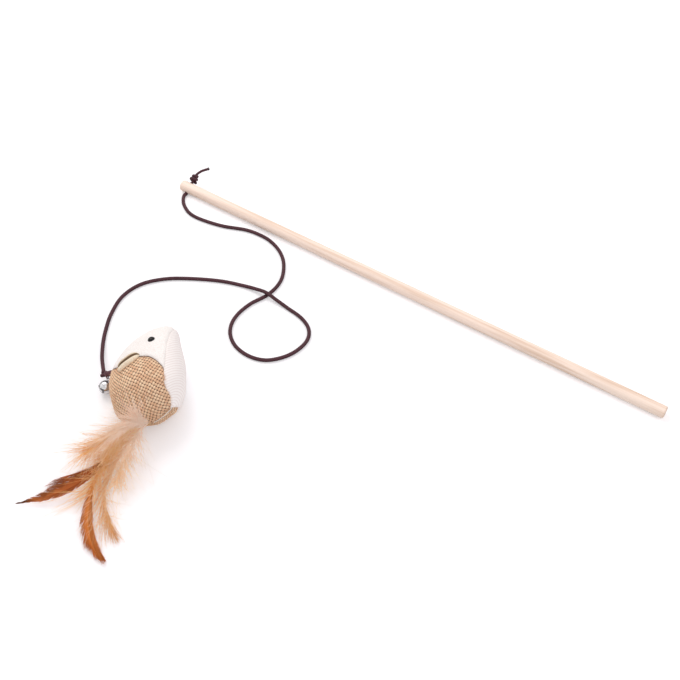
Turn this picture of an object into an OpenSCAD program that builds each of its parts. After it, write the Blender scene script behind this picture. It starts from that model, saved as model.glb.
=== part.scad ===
// Cat teaser wand: a wooden stick, an elastic cord, and a stuffed mouse with
// a jingle bell and a feather tail, as it lies on a flat surface.
// X runs along the stick towards its butt, Z is up, and the origin is the
// centre of the butt's end face.

/* [Stick] */
// Length of the wooden stick
stick_len = 380; // [320:5:420]
// Diameter of the wooden stick
stick_d = 8; // [7:0.5:10]
// Chamfer round the butt's end face
butt_chamfer = 0.6; // [0.4:0.1:1]
// Rounding of the tip
tip_round = 1.5; // [1:0.1:2]
// Distance from the tip to the cord hole
hole_inset = 6.5; // [5.5:0.5:10]
// Diameter of the cord hole
hole_d = 3; // [2.8:0.1:3.4]
// Slope of the cord hole over the horizontal, in degrees
hole_slope = 32; // [10:1:40]

/* [Cord] */
// Diameter of the elastic cord
cord_d = 2.5; // [2.2:0.1:2.7]
// Diameter of the cord's stretched free end
tail_d = 1.9; // [1.5:0.1:2]
// Diameter of the strand that is wound into the tip knot
knot_strand_d = 1.8; // [1.5:0.1:2]
// Turns of the tip knot
knot_turns = 2; // [1.5:0.25:3]
// Gap between neighbouring turns of the tip knot
knot_turn_gap = 0.6; // [0.45:0.05:0.9]
// Length of the neck that stands out of the mouse's back
neck_len = 8.3; // [7.5:0.1:10]
// Diameter of the binding round the neck
binding_d = 3.7; // [3.3:0.1:4.2]

/* [Mouse] */
// Length of the flat belly panel
belly_len = 62; // [55:1:70]
// Width of the body
body_w = 36; // [32:1:40]
// Height of the body from its belly seam to its back
body_h = 41; // [37:1:45]
// Thickness of the sewn cloth
cloth_t = 1; // [0.8:0.1:1.3]
// Roll of the resting mouse past its side, in degrees
toy_roll = 14; // [10:1:18]
// Heading of the resting mouse's nose, in degrees
toy_yaw = 131; // [126:1:136]
// Diameter of the bead eyes
eye_d = 4.8; // [3.5:0.1:5.5]
// Height of the bead eyes
eye_h = 1.9; // [1.5:0.1:2.3]
// Height to which an ear stands out
ear_h = 3.4; // [2.8:0.1:4]
// Thickness of an ear's rolled lip
ear_lip_t = 2.2; // [1.8:0.1:2.6]

/* [Bell] */
// Outer diameter of the bell
bell_d = 9; // [8:0.5:10]
// Thickness of the bell's sheet metal
bell_wall = 0.35; // [0.3:0.05:0.5]
// Width of the sound slots
slot_w = 0.9; // [0.7:0.1:1.2]
// Diameter of the holes at the slots' ends
slot_hole_d = 1.5; // [1.3:0.1:1.9]
// Diameter of the loose pellet
pellet_d = 2.8; // [2.4:0.1:3.2]
// Diameter of the eyelet's wire
eyelet_wire_d = 0.5; // [0.4:0.05:0.6]
// Inner diameter of the eyelet
eyelet_bore = 1.1; // [1:0.05:1.4]
// Diameter of the tie that holds the bell
tie_d = 0.6; // [0.5:0.05:0.7]

/* [Feathers] */
// Length of the longest feather beyond the rump
feather_len = 90; // [80:5:100]
// Width of the rust-brown vane
rust_w = 12; // [9:1:15]
// Width of the orange-brown vane
orange_w = 10; // [7:1:12]
// Width of the tan vane
tan_w = 10; // [8:1:13]
// Thickness of a vane at its shaft
vane_t = 1.3; // [1:0.1:1.8]
// Largest diameter of the left plume of down
left_plume_d = 15; // [12:1:18]
// Largest diameter of the right plume of down
right_plume_d = 13; // [10:1:16]
// Diameter of the bundle of quills at the rump
quill_d = 3.4; // [3:0.1:4]
// Length of the bundle of quills
quill_len = 12; // [10:1:14]

/* [Hidden] */
$fn = 48;

// Clearances, overruns and the resting plane
fit_gap = 0.3;
close_gap = 0.1;
fill_gap = 1;
rest_gap = 0.02;
cut_over = 1;
floor_z = -stick_d/2;

// Places that the stick carries
hole_x = -stick_len + hole_inset;
mouth_run = 0.4;
mouth_s = stick_d/2 + mouth_run;
function near_dir() = [0, -cos(hole_slope), -sin(hole_slope)];
function hole_point(s) = [hole_x, 0, 0] + s*near_dir();

// The free cord: along and across from the hole, and height over lying flat
cord_route = [[1, -5.2, 0.1], [3, -8, 0], [7.5, -13.5, 0], [15.5, -18.5, 0], [25.5, -19.5, 0],
    [43, -16.5, 0], [59.5, -10.5, 0], [71, -9, 0], [81.5, -10, 0], [92.5, -14.5, 0],
    [101.5, -22, 0], [108.5, -33, 0], [111, -43, 0], [110, -54, 0], [105.5, -66, 0],
    [104, -78, 0], [106, -88, 0], [111.5, -96, 0], [120.5, -101.5, 0], [132, -103, 0],
    [142.5, -100, 0], [150.5, -92, 0], [155, -82, 0], [155.5, -71, 0], [150.5, -62.5, 0],
    [141, -57.5, 0], [129, -55.5, 0.1], [119, -54.5, 1.3], [110, -54, 2.9], [101, -54, 1.3],
    [91, -55.5, 0.1], [75.5, -60.5, 0], [57, -70, 0], [42.5, -80, 0], [32, -93, 0],
    [29, -108.5, 0], [33, -124, 0], [39, -136, 0], [45.5, -146, 0.5], [54.5, -156.5, 2.9],
    [62, -163.5, 5.8], [66.5, -167.3, 7.8]];
// The free end beyond the tip knot: from the hole, and over the stick's axis
tail_route = [[0.4, 11, 6.5], [1.4, 14, 7], [2.6, 16.6, 6.9], [3.8, 19.2, 6.6]];
seal_out_share = 0.35;
seal_d_share = 1.25;
cord_sides = 8;
ring_pitch = 7.5;
tail_pitch = 2.5;
knot_len = knot_turns*(knot_strand_d + knot_turn_gap) + knot_strand_d;
knot_coil_r = (tail_d + knot_strand_d)/2 + close_gap;
knot_rings = 20;

// The mouse lies this far along and across from the hole
toy_along = 110.9;
toy_across = 147.6;

// Body stations: place over half the belly's length, half width, then the bottom,
// the widest level and the ridge over the body's height
body_shares = [
    [-1.18, 0.03, 0.36, 0.41, 0.47], [-1.15, 0.30, 0.30, 0.40, 0.61],
    [-1.07, 0.49, 0.20, 0.36, 0.74], [-0.94, 0.63, 0.08, 0.32, 0.86],
    [-0.73, 0.81, -0.02, 0.29, 0.95], [-0.45, 0.96, -0.09, 0.27, 1.00],
    [-0.10, 1.00, -0.11, 0.26, 1.03], [0.20, 0.96, -0.10, 0.25, 1.00],
    [0.45, 0.87, -0.08, 0.24, 0.91], [0.67, 0.73, -0.06, 0.22, 0.75],
    [0.85, 0.53, -0.05, 0.19, 0.56], [0.97, 0.30, -0.01, 0.15, 0.37],
    [1.02, 0.03, 0.07, 0.11, 0.16]];
// The belly seam's angle from the bottom, in degrees, over the same stations
seam_angle_shares = [[-0.97, 0], [-0.92, 9], [-0.84, 24], [-0.75, 44], [-0.6, 55],
    [-0.3, 56], [0, 54], [0.25, 50], [0.5, 45], [0.7, 38], [0.85, 28], [0.95, 15], [1.02, 2]];
half_belly = belly_len/2;
rump_x = body_shares[0][0]*half_belly;
nose_x = body_shares[len(body_shares) - 1][0]*half_belly;
belly_rear_x = seam_angle_shares[0][0]*half_belly;
tip_inset_share = 0.26;
tip_inset = tip_inset_share*half_belly;
core_share = 0.9;
low_round = 2.3;
top_round = 1.9;
angle_step = 2;
// The seam between head and body crosses the ridge here and drops back to the belly
neck_share = 0.29;
seam_drop_share = 0.65;
neck_x = neck_share*half_belly;
seam_drop = seam_drop_share*half_belly;
neck_z = share(neck_x, 4)*body_h;

// Linear reading of one column of the body stations, and of the belly seam
function pick(table, column) = [for (row = table) [row[0], row[column]]];
function share(x, column) = lookup(x/half_belly, pick(body_shares, column));
function seam_angle(x) = lookup(x/half_belly, seam_angle_shares);
function seam_x(q) = neck_x - seam_drop*pow(1 - q, 2);
function angle_at(x, q) = seam_angle(x)*(1 - q) + 180*q;

// A point on the body's skin, at angle a from the bottom, on side 1 or -1
function skin(x, a, side) =
    let (w = share(x, 1)*body_w/2, low = share(x, 2)*body_h, mid = share(x, 3)*body_h,
         top = share(x, 4)*body_h, n = a < 90 ? low_round : top_round,
         reach = a < 90 ? mid - low : top - mid)
    [x, side*w*pow(max(sin(a), 0), 2/n), mid - sign(cos(a))*reach*pow(abs(cos(a)), 2/n)];
function rising(x, a, side) =
    unit(skin(x, a + angle_step, side) - skin(x, a - angle_step, side));
function outward(x, a, side) =
    unit(-side*cross(skin(x + cloth_t, a, side) - skin(x - cloth_t, a, side), rising(x, a, side)));
function core_point(x) =
    [max(rump_x + tip_inset, min(nose_x - tip_inset, x)), 0, share(x, 3)*body_h];
function inset_point(p, depth) =
    let (v = core_point(p[0]) - p) p + v*min(depth/norm(v), core_share);

// Ears, from their lower to their upper end; the left one is pressed flat
ear_squash = 0.2;
ear_end_shares = [0.06, -0.07];
ear_ends = ear_end_shares*half_belly;
ear_angles = [99, 134];
ear_gap = 0.9;
ear_rim_t = 0.8;
ear_floor_t = 0.8;
ear_rim_share = 0.75;
ear_side_share = 0.8;
ear_round_share = 0.25;
ear_foot_share = 0.08;
function ear_x(u) = ear_ends[0]*(1 - u) + ear_ends[1]*u;
function ear_angle(u) = ear_angles[0]*(1 - u) + ear_angles[1]*u;
ear_rows = 10;
// The outline of one cross-section, from the lip's foot round over the rim: a share of
// the lip or of the slot along the body, and a share of the ear's height
function ear_outline(rise) =
    let (lip = ear_lip_t, rim = ear_gap + ear_rim_t, h = ear_h*rise, base = ear_floor_t*rise)
    [[-lip, 0], [rim, 0], [rim, h*ear_rim_share], [ear_gap, h*ear_rim_share],
     [ear_gap*ear_side_share, base], [0, base], [0, h*ear_side_share],
     [-lip*ear_round_share, h], [lip*(ear_round_share - 1), h], [-lip, h*ear_side_share]];
function ear_ring(u, side, rise) =
    let (x = ear_x(u), a = ear_angle(u), p = skin(x, a, side), n = outward(x, a, side),
         s = unit(cross(n, rising(x, a, side)))*side,
         taper = sqrt(max(ear_foot_share, 1 - pow(2*u - 1, 4))))
    [for (q = ear_outline(rise)) p + close_gap*n + q[0]*taper*s + q[1]*taper*n];

// Laying the upright mouse down on its left side
function turn_x(p, a) = [p[0], p[1]*cos(a) - p[2]*sin(a), p[1]*sin(a) + p[2]*cos(a)];
function turn_z(p, a) = [p[0]*cos(a) - p[1]*sin(a), p[0]*sin(a) + p[1]*cos(a), p[2]];
function turned(v) = turn_z(turn_x(v, -(90 + toy_roll)), toy_yaw);
// It rests on its left flank or on the flattened ear there, whichever is lower
toy_rest_h = -min(concat(
    [for (row = body_shares) for (a = [50:5:130]) turned(skin(row[0]*half_belly, a, 1))[2]],
    [for (i = [0:ear_rows]) for (p = ear_ring(i/ear_rows, 1, ear_squash)) turned(p)[2]]));
toy_origin = [hole_x + toy_along, -toy_across, floor_z + toy_rest_h + rest_gap];
function laid(p) = toy_origin + turned(p);
module lay() {
    translate(toy_origin) rotate([-(90 + toy_roll), 0, toy_yaw]) children();
}

// The neck stands out of the ridge with a round end, where the cord meets it at an angle
binding_foot = 1.1;
binding_end = cord_d/2 + 2*fit_gap;
neck_end = laid([neck_x, 0, neck_z + neck_len]);
function route_point(p) = [hole_x + p[0], p[1], floor_z + cord_d/2 + p[2]];
function riser_dir() = unit(route_point(cord_route[len(cord_route) - 1]) - neck_end);
inner_knot_d = 6.4;
inner_knot_depth = 11;

// The bell's eyelet hangs in a loose tie ring round the middle of the binding
tie_room = eyelet_wire_d + 2*close_gap;
tie_ring_r = (binding_d + tie_d + tie_room)/2;
tie_reach = tie_room/2 + tie_ring_r;
tie_place_share = 0.68;
tie_z = neck_z + tie_place_share*neck_len;
eyelet_ring_r = (eyelet_bore + eyelet_wire_d)/2;
eyelet_rise = eyelet_ring_r + eyelet_wire_d/2 + rest_gap;
stem_d = 0.8;
stem_head_d = 1.5;
stem_head_t = 0.3;
bell_reach = bell_d/2 + eyelet_rise + (eyelet_bore - tie_d - close_gap)/2;
rim_w = 0.25;
rim_out = 0.25;
bell_lean = 32;
slot_band = 0.35;
slot_reach = acos((slot_band + slot_hole_d/2)/(bell_d/2));
// How far the bell hangs down beside the neck, so that it just clears the resting
// plane in every position of its swing
bell_room = laid([neck_x, 0, tie_z])[2] - floor_z - bell_d/2 - rim_out - rest_gap;
side_tilt = sin(toy_roll);
reach_gap = pow(bell_reach, 2) - pow(tie_reach, 2);
hang_depth = (sqrt(pow(bell_room*tie_reach, 2)
    - reach_gap*(pow(bell_reach*side_tilt, 2) - pow(bell_room, 2)))
    - bell_room*tie_reach)/reach_gap;
bell_drop = asin(min(1, hang_depth/cos(toy_roll)));
tie_dir = [-cos(bell_drop), sin(bell_drop), 0];
tie_point = [neck_x, 0, tie_z] + tie_reach*tie_dir;
bell_dir = tie_dir*cos(bell_lean) + [0, 0, sin(bell_lean)];
bell_centre = tie_point + bell_reach*bell_dir;

// Eyes and the thread in the rump's seam
eye_ball_r = (pow(eye_d/2, 2) + pow(eye_h, 2))/(2*eye_h);
eye_share = 0.4;
eye_x = eye_share*half_belly;
eye_angle = 88;
thread_d = 0.5;
thread_steps = 8;
thread_sides = 6;

// Tail: where it leaves the rump, and the routes of vanes and plumes from there
tail_lift = 72;
tail_base = laid([rump_x, 0, share(rump_x, 3)*body_h]);
tail_dir = turned([-cos(tail_lift), 0, sin(tail_lift)]);
quill_taper_share = 0.75;
// Routes of vanes and plumes from the tail base, as shares of feather_len
rust_route_shares = [[-0.076, -0.113, -0.027], [-0.096, -0.244, -0.073],
    [-0.111, -0.422, -0.111], [-0.172, -0.6, -0.142], [-0.283, -0.756, -0.164],
    [-0.417, -0.889, -0.177]];
orange_route_shares = [[-0.069, -0.122, -0.042], [-0.094, -0.233, -0.089],
    [-0.1, -0.367, -0.122], [-0.072, -0.511, -0.142], [0, -0.644, -0.159],
    [0.089, -0.75, -0.17], [0.2, -0.833, -0.179], [0.333, -0.889, -0.184]];
tan_route_shares = [[-0.056, -0.12, -0.04], [-0.059, -0.222, -0.094], [-0.05, -0.344, -0.13],
    [-0.006, -0.483, -0.159], [0.072, -0.578, -0.168], [0.189, -0.661, -0.176],
    [0.333, -0.733, -0.182]];
left_route_shares = [[-0.028, -0.039, 0.018], [-0.083, -0.122, 0.056], [-0.128, -0.239, 0.044],
    [-0.189, -0.372, -0.011], [-0.267, -0.506, -0.067]];
right_route_shares = [[-0.01, -0.067, -0.011], [0.017, -0.15, -0.007], [0.044, -0.256, -0.029],
    [0.078, -0.367, -0.064], [0.117, -0.467, -0.1]];
rust_shares = [0.1, 0.35, 0.85, 1, 0.7, 0.25, 0.06];
orange_shares = [0.1, 0.12, 0.25, 0.8, 1, 0.95, 0.3];
tan_shares = [0.14, 0.16, 0.3, 0.7, 1, 0.9, 0.3];
plume_shares = [0.33, 0.85, 1, 0.62, 0.15];
vane_pitch = 6;
plume_pitch = 5;
plume_sides = 12;

// Unit vectors and a smooth curve through route points
function unit(v) = v/norm(v);
function spline(a, b, c, d, t) =
    0.5*((2*b) + (c - a)*t + (2*a - 5*b + 4*c - d)*t*t + (3*b - a - 3*c + d)*t*t*t);
function at(points, i) = points[max(0, min(len(points) - 1, i))];
function smooth(points, pitch) = concat(
    [for (i = [0:len(points) - 2])
        let (steps = max(1, round(norm(points[i + 1] - points[i])/pitch)))
        for (j = [0:steps - 1])
            spline(at(points, i - 1), points[i], points[i + 1], at(points, i + 2), j/steps)],
    [points[len(points) - 1]]);
function tangent(points, i) = unit(at(points, i + 1) - at(points, i - 1));

// A closed skin over rings of equal length, with its two ends capped
module loft(rings) {
    n = len(rings[0]);
    m = len(rings);
    points = [for (ring = rings) for (p = ring) p];
    sides = [for (i = [0:m - 2]) for (j = [0:n - 1])
        let (a = i*n + j, b = i*n + (j + 1)%n)
        each [[a, b, a + n], [b, b + n, a + n]]];
    ends = [for (j = [1:n - 2])
        each [[0, j + 1, j], [(m - 1)*n, (m - 1)*n + j, (m - 1)*n + j + 1]]];
    polyhedron(points, concat(sides, ends), 10);
}

// A round tube of the given radii along a curve, its flat ends square to the first
// and last directions
module tube(points, radii, sides, first, last) {
    n = len(points);
    rings = [for (i = [0:n - 1])
        let (t = i == 0 ? unit(first) : i == n - 1 ? unit(last) : tangent(points, i),
             s = unit(cross(t, [0, 0, 1])), u = cross(s, t), r = radii[i])
        [for (k = [0:sides - 1])
            let (a = 360*(k + 0.5)/sides) points[i] + r*(cos(a)*s + sin(a)*u)]];
    loft(rings);
}
function even(n, r) = [for (i = [0:n - 1]) r];

// A patch of cloth between two grids of points, closed round its four edges
module patch(outer, inner) {
    m = len(outer);
    n = len(outer[0]);
    size = m*n;
    points = concat([for (row = outer) for (p = row) p], [for (row = inner) for (p = row) p]);
    cells = [for (i = [0:m - 2]) for (j = [0:n - 2])
        let (a = i*n + j, b = a + 1, c = a + n, d = c + 1)
        each [[a, b, c], [b, d, c], [a + size, c + size, b + size],
              [b + size, c + size, d + size]]];
    edges = concat(
        [for (j = [0:n - 2]) let (a = j, b = j + 1) each wall(b, a, size)],
        [for (j = [0:n - 2]) let (a = (m - 1)*n + j, b = a + 1) each wall(a, b, size)],
        [for (i = [0:m - 2]) let (a = i*n, b = a + n) each wall(a, b, size)],
        [for (i = [0:m - 2]) let (a = i*n + n - 1, b = a + n) each wall(b, a, size)]);
    polyhedron(points, concat(cells, edges), 10);
}
function wall(a, b, size) = [[a, b, a + size], [b, b + size, a + size]];
function flip(grid) = [for (row = grid) [for (j = [len(row) - 1:-1:0]) row[j]]];

// Grids of a side panel: rows run from the seam at one end, columns from belly to ridge
panel_rows = 11;
panel_cols = 10;
function rump_x_at(i, q) = rump_x + (seam_x(q) - rump_x)*(1 - cos(90*i/panel_rows));
function head_x_at(i, q) = seam_x(q) + (nose_x - seam_x(q))*sin(90*i/panel_rows);
function side_grid(head, side) = [for (i = [0:panel_rows]) [for (j = [0:panel_cols])
    let (q = j/panel_cols, x = head ? head_x_at(i, q) : rump_x_at(i, q))
    skin(x, angle_at(x, q), side)]];
function deeper(grid, depth) = [for (row = grid) [for (p = row) inset_point(p, depth)]];
module side_panel(head, side) {
    grid = side_grid(head, side);
    outer = side > 0 ? flip(grid) : grid;
    difference() {
        patch(outer, deeper(outer, cloth_t));
        neck_passage();
        if (!head) tail_passage();
    }
}
module neck_passage() {
    translate([neck_x, 0, neck_z - inner_knot_depth])
        cylinder(d = cord_d + 2*close_gap, h = inner_knot_depth + neck_len);
}

module tail_passage() {
    translate([rump_x, 0, share(rump_x, 3)*body_h]) rotate([0, tail_lift - 90, 0])
        cylinder(d = quill_d + 2*close_gap, h = quill_len);
}

// The stick, turned from a profile about its axis
module stick() {
    r = stick_d/2;
    steps = 6;
    tip = [for (k = [0:steps]) let (a = 90*k/steps)
        [r - tip_round + tip_round*cos(a), stick_len - tip_round + tip_round*sin(a)]];
    color("wheat") difference() {
        rotate([0, -90, 0]) rotate_extrude($fn = 64)
            polygon(concat([[0, 0], [r - butt_chamfer, 0], [r, butt_chamfer]], tip,
                [[0, stick_len]]));
        translate([hole_x, 0, 0]) rotate([90 + hole_slope, 0, 0])
            cylinder(d = hole_d, h = stick_d + 2*cut_over, center = true);
    }
}

// The cord where it runs through the stick, and its stopper knot and free end
module cord_in_stick() {
    color("#4b2d32") translate([hole_x, 0, 0]) rotate([90 + hole_slope, 0, 0])
        translate([0, 0, -mouth_s]) cylinder(d = cord_d, h = 2*mouth_s);
}
module tip_knot() {
    rings = knot_turns*knot_rings;
    start = mouth_s + close_gap + knot_strand_d/2;
    along = -near_dir();
    across = [1, 0, 0];
    up = cross(along, across);
    pitch = knot_strand_d + knot_turn_gap;
    echo("least gap between the knot's turns", pitch*cos(atan(pitch/(2*PI*knot_coil_r)))
        - knot_strand_d);
    points = [for (i = [0:rings]) let (a = 360*i/knot_rings)
        hole_point(-start) + pitch*i/knot_rings*along
        + knot_coil_r*(cos(a)*across + sin(a)*up)];
    color("#4b2d32") loft([for (i = [0:rings])
        let (a = 360*i/knot_rings, out = cos(a)*across + sin(a)*up,
             t = unit(-sin(a)*across + cos(a)*up + pitch/(2*PI*knot_coil_r)*along),
             s = unit(cross(out, t)))
        [for (k = [0:cord_sides - 1]) let (b = 360*k/cord_sides)
            points[i] + knot_strand_d/2*(cos(b)*out + sin(b)*s)]]);
}
function tail_points() = concat(
    [hole_point(-mouth_s), hole_point(-mouth_s - knot_len/2), hole_point(-mouth_s - knot_len)],
    [for (p = tail_route) [hole_x, 0, 0] + p]);
module cord_tail() {
    points = smooth(tail_points(), tail_pitch);
    last = tangent(points, len(points) - 1);
    color("#4b2d32") tube(points, even(len(points), tail_d/2), cord_sides, -near_dir(), last);
}
module tail_seal() {
    points = smooth(tail_points(), tail_pitch);
    tip = points[len(points) - 1];
    t = tangent(points, len(points) - 1);
    color("#6b6464") translate(tip) rotate([0, acos(t[2]), atan2(t[1], t[0])])
        rotate_extrude($fn = 24) intersection() {
            translate([0, tail_d*seal_out_share]) circle(d = tail_d*seal_d_share);
            square([tail_d, tail_d]);
        }
}

// The cord's free stretch, from the hole's mouth to the neck
function cord_points() = concat(
    [hole_point(mouth_s), hole_point(mouth_s + cord_d/4)],
    smooth([for (p = cord_route) route_point(p)], ring_pitch),
    [neck_end + (cord_d/2 + fit_gap)*riser_dir()]);
function cord_length(points) =
    [for (i = [1:len(points) - 1]) norm(points[i] - points[i - 1])]
    * [for (i = [1:len(points) - 1]) 1];
module cord() {
    points = cord_points();
    echo("free cord length", cord_length(points), "rings", len(points));
    color("#4b2d32")
        tube(points, even(len(points), cord_d/2), cord_sides, near_dir(), -riser_dir());
}

// The cord's end in the mouse: the neck, its binding and the knot in the stuffing
module neck_cord() {
    depth = inner_knot_depth - inner_knot_d/2;
    color("#4b2d32") lay() translate([neck_x, 0, neck_z + neck_len]) {
        translate([0, 0, -depth - neck_len]) cylinder(d = cord_d, h = depth + neck_len);
        sphere(d = cord_d);
    }
}
module neck_binding() {
    h = neck_len - binding_foot - binding_end;
    bore_r = cord_d/2 + close_gap;
    r = binding_d/2;
    edge = (r - bore_r)/2;
    color("#4b2d32") lay() translate([neck_x, 0, neck_z + binding_foot])
        rotate_extrude() polygon([[bore_r, 0], [r - edge, 0], [r, edge], [r, h - edge],
            [r - edge, h], [bore_r, h]]);
}
module inner_knot() {
    color("#4b2d32") lay() translate([neck_x, 0, neck_z - inner_knot_depth])
        difference() {
            sphere(d = inner_knot_d);
            translate([0, 0, inner_knot_d/2 - close_gap]) cylinder(d = inner_knot_d, h = cut_over);
        }
}

// The mouse's cloth panels and its filling
module head_right() { color("white") lay() side_panel(true, -1); }
module head_left() { color("white") lay() side_panel(true, 1); }
module body_right() { color("tan") lay() side_panel(false, -1); }
module body_left() { color("tan") lay() side_panel(false, 1); }
module belly_panel() {
    cols = 6;
    stations = concat(
        [for (i = [0:panel_rows]) if (rump_x_at(i + 1, 0) > belly_rear_x) rump_x_at(i, 0)],
        [for (i = [1:panel_rows]) head_x_at(i, 0)]);
    outer = [for (x = stations) [for (j = [cols:-1:-cols])
        skin(x, max(seam_angle(x), angle_step)*abs(j)/cols, j < 0 ? -1 : 1)]];
    color("white") lay() patch(outer, deeper(outer, cloth_t));
}
module stuffing() {
    rows = 16;
    cols = 9;
    inset = cloth_t + fill_gap;
    middle = (nose_x + rump_x)/2;
    half = (nose_x - rump_x)/2 - 2*cloth_t;
    end_row = 0.4;
    rings = [for (i = [0:rows])
        let (x = middle - half*cos(180*(i + end_row)/(rows + 2*end_row)))
        [for (j = [0:2*cols - 1])
            let (a = 180*j/cols)
            inset_point(skin(x, a <= 180 ? a : 360 - a, a <= 180 ? -1 : 1), inset)]];
    color("ivory") lay() difference() {
        loft(rings);
        neck_passage();
        translate([neck_x, 0, neck_z - inner_knot_depth]) sphere(d = inner_knot_d + 2*close_gap);
    }
}

// An ear: a folded strip with a thick rolled lip behind an open slot and a thin rim
module ear(side, rise) {
    rings = [for (i = [0:ear_rows]) ear_ring(i/ear_rows, side, rise)];
    loft(side < 0 ? rings : [for (i = [ear_rows:-1:0]) rings[i]]);
}
module ear_right() { color("burlywood") lay() ear(-1, 1); }
module ear_left() { color("burlywood") lay() ear(1, ear_squash); }

// A bead eye, flat where it sits on the cloth
module eye(side) {
    p = skin(eye_x, eye_angle, side);
    n = outward(eye_x, eye_angle, side);
    translate(p + close_gap*n) rotate([0, acos(n[2]), atan2(n[1], n[0])])
        rotate_extrude($fn = 32) intersection() {
            translate([0, eye_h - eye_ball_r]) circle(r = eye_ball_r, $fn = 48);
            square([eye_d, eye_d]);
        }
}
module eye_right() { color("black") lay() eye(-1); }
module eye_left() { color("black") lay() eye(1); }

// White thread over the seam that closes the rump
module closing_thread() {
    out = thread_d/2 + close_gap;
    points = [for (i = [0:thread_steps])
        let (x = rump_x + (belly_rear_x - rump_x)*pow(i/thread_steps, 2), p = skin(x, 0, 1),
             v = unit(p - core_point(x))) p + out*v];
    color("white") lay() loft([for (k = [0:len(points) - 1])
        let (s = [0, 1, 0], u = cross(s, tangent(points, k)))
        [for (b = [0:thread_sides - 1]) let (a = 360*b/thread_sides)
            points[k] + thread_d/2*(cos(a)*s + sin(a)*u)]]);
}

// The bell, built upright with its eyelet on +Z, and turned to hang by it
module bell_frame() {
    up = -bell_dir;
    lay() translate(bell_centre) rotate([0, 0, -bell_drop]) rotate([0, acos(up[2]), 0]) children();
}
module half_shell(bore_r) {
    r = bell_d/2;
    rotate_extrude($fn = 48) difference() {
        intersection() {
            union() {
                circle(r = r, $fn = 64);
                square([2*(r + rim_out), 2*rim_w], center = true);
            }
            translate([bore_r, 0]) square([2*r, 2*r]);
        }
        circle(r = r - bell_wall, $fn = 64);
    }
}
module bell_cap() {
    color("silver") bell_frame() half_shell(stem_d/2 + close_gap);
}
module bell_cup() {
    r = bell_d/2;
    color("silver") bell_frame() mirror([0, 0, 1]) difference() {
        half_shell(0);
        for (turn = [0, 90]) rotate([0, 0, turn]) {
            intersection() {
                translate([-r, -slot_w/2, 0]) cube([2*r, slot_w, 2*r]);
                translate([0, 0, r*cos(slot_reach)]) translate([-r, -r, 0]) cube([2*r, 2*r, r]);
            }
            for (side = [-1, 1]) rotate([0, side*slot_reach, 0])
                translate([0, 0, r/2]) cylinder(d = slot_hole_d, h = r, $fn = 24);
        }
    }
}
module bell_eyelet() {
    seat = sqrt(pow(bell_d/2 - bell_wall, 2) - pow(stem_head_d/2, 2)) - rest_gap;
    wire_z = bell_d/2 + eyelet_rise - eyelet_ring_r;
    color("silver") bell_frame() {
        translate([0, 0, bell_d/2 + eyelet_rise]) rotate([90, 0, 0])
            rotate_extrude($fn = 32) translate([eyelet_ring_r, 0])
                circle(d = eyelet_wire_d, $fn = 16);
        translate([0, 0, seat - stem_head_t]) {
            cylinder(d = stem_d, h = wire_z - seat + stem_head_t);
            cylinder(d = stem_head_d, h = stem_head_t);
        }
    }
}
module bell_tie() {
    echo("bell pivot", laid(tie_point), "axis", turned(cross(tie_dir, [0, 0, 1])),
        "bell", laid(bell_centre), "neck end", neck_end);
    color("#4b2d32") lay() translate([neck_x, 0, tie_z] + tie_room/2*tie_dir)
        rotate_extrude($fn = 48) translate([tie_ring_r, 0]) circle(d = tie_d, $fn = 16);
}
module bell_pellet() {
    drop_z = bell_d/2 - bell_wall - pellet_d/2 - close_gap;
    color("gray") translate(laid(bell_centre) - [0, 0, drop_z]) sphere(d = pellet_d);
}

// The feather tail: a glued bundle of quills, three vanes and three plumes of down
module quill_bundle() {
    color("peru") translate(tail_base)
        rotate([0, acos(tail_dir[2]), atan2(tail_dir[1], tail_dir[0])])
            translate([0, 0, close_gap])
                cylinder(d1 = quill_d, d2 = quill_d*quill_taper_share, h = quill_len);
}
function spread(shares, u) =
    lookup(u, [for (i = [0:len(shares) - 1]) [i/(len(shares) - 1), shares[i]]]);
module vane(route, width, shares) {
    points = smooth([for (p = route) tail_base + p*feather_len], vane_pitch);
    n = len(points);
    loft([for (i = [0:n - 1])
        let (t = tangent(points, i), s = unit(cross(t, [0, 0, 1])), u = cross(s, t),
             w = width/2*spread(shares, i/(n - 1)), h = vane_t/2)
        [points[i] - w*s, points[i] - h*u, points[i] + w*s, points[i] + h*u]]);
}
module plume(route, width) {
    points = smooth([for (p = route) tail_base + p*feather_len], plume_pitch);
    n = len(points);
    radii = [for (i = [0:n - 1]) width/2*spread(plume_shares, i/(n - 1))];
    tube(points, radii, plume_sides, points[1] - points[0], points[n - 1] - points[n - 2]);
}
module feather_rust() {
    color("sienna") difference() {
        vane(rust_route_shares, rust_w, rust_shares);
        quill_bundle();
    }
}
module feather_orange() {
    color("peru") difference() {
        vane(orange_route_shares, orange_w, orange_shares);
        vane(rust_route_shares, rust_w, rust_shares);
        quill_bundle();
    }
}
module feather_tan() {
    color("tan") difference() {
        vane(tan_route_shares, tan_w, tan_shares);
        vane(orange_route_shares, orange_w, orange_shares);
        vane(rust_route_shares, rust_w, rust_shares);
        quill_bundle();
    }
}
module plume_left() {
    color("bisque") difference() {
        plume(left_route_shares, left_plume_d);
        vane(rust_route_shares, rust_w, rust_shares);
        quill_bundle();
    }
}
module plume_right() {
    color("bisque") difference() {
        plume(right_route_shares, right_plume_d);
        plume(left_route_shares, left_plume_d);
        vane(orange_route_shares, orange_w, orange_shares);
        vane(tan_route_shares, tan_w, tan_shares);
        quill_bundle();
    }
}

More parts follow.
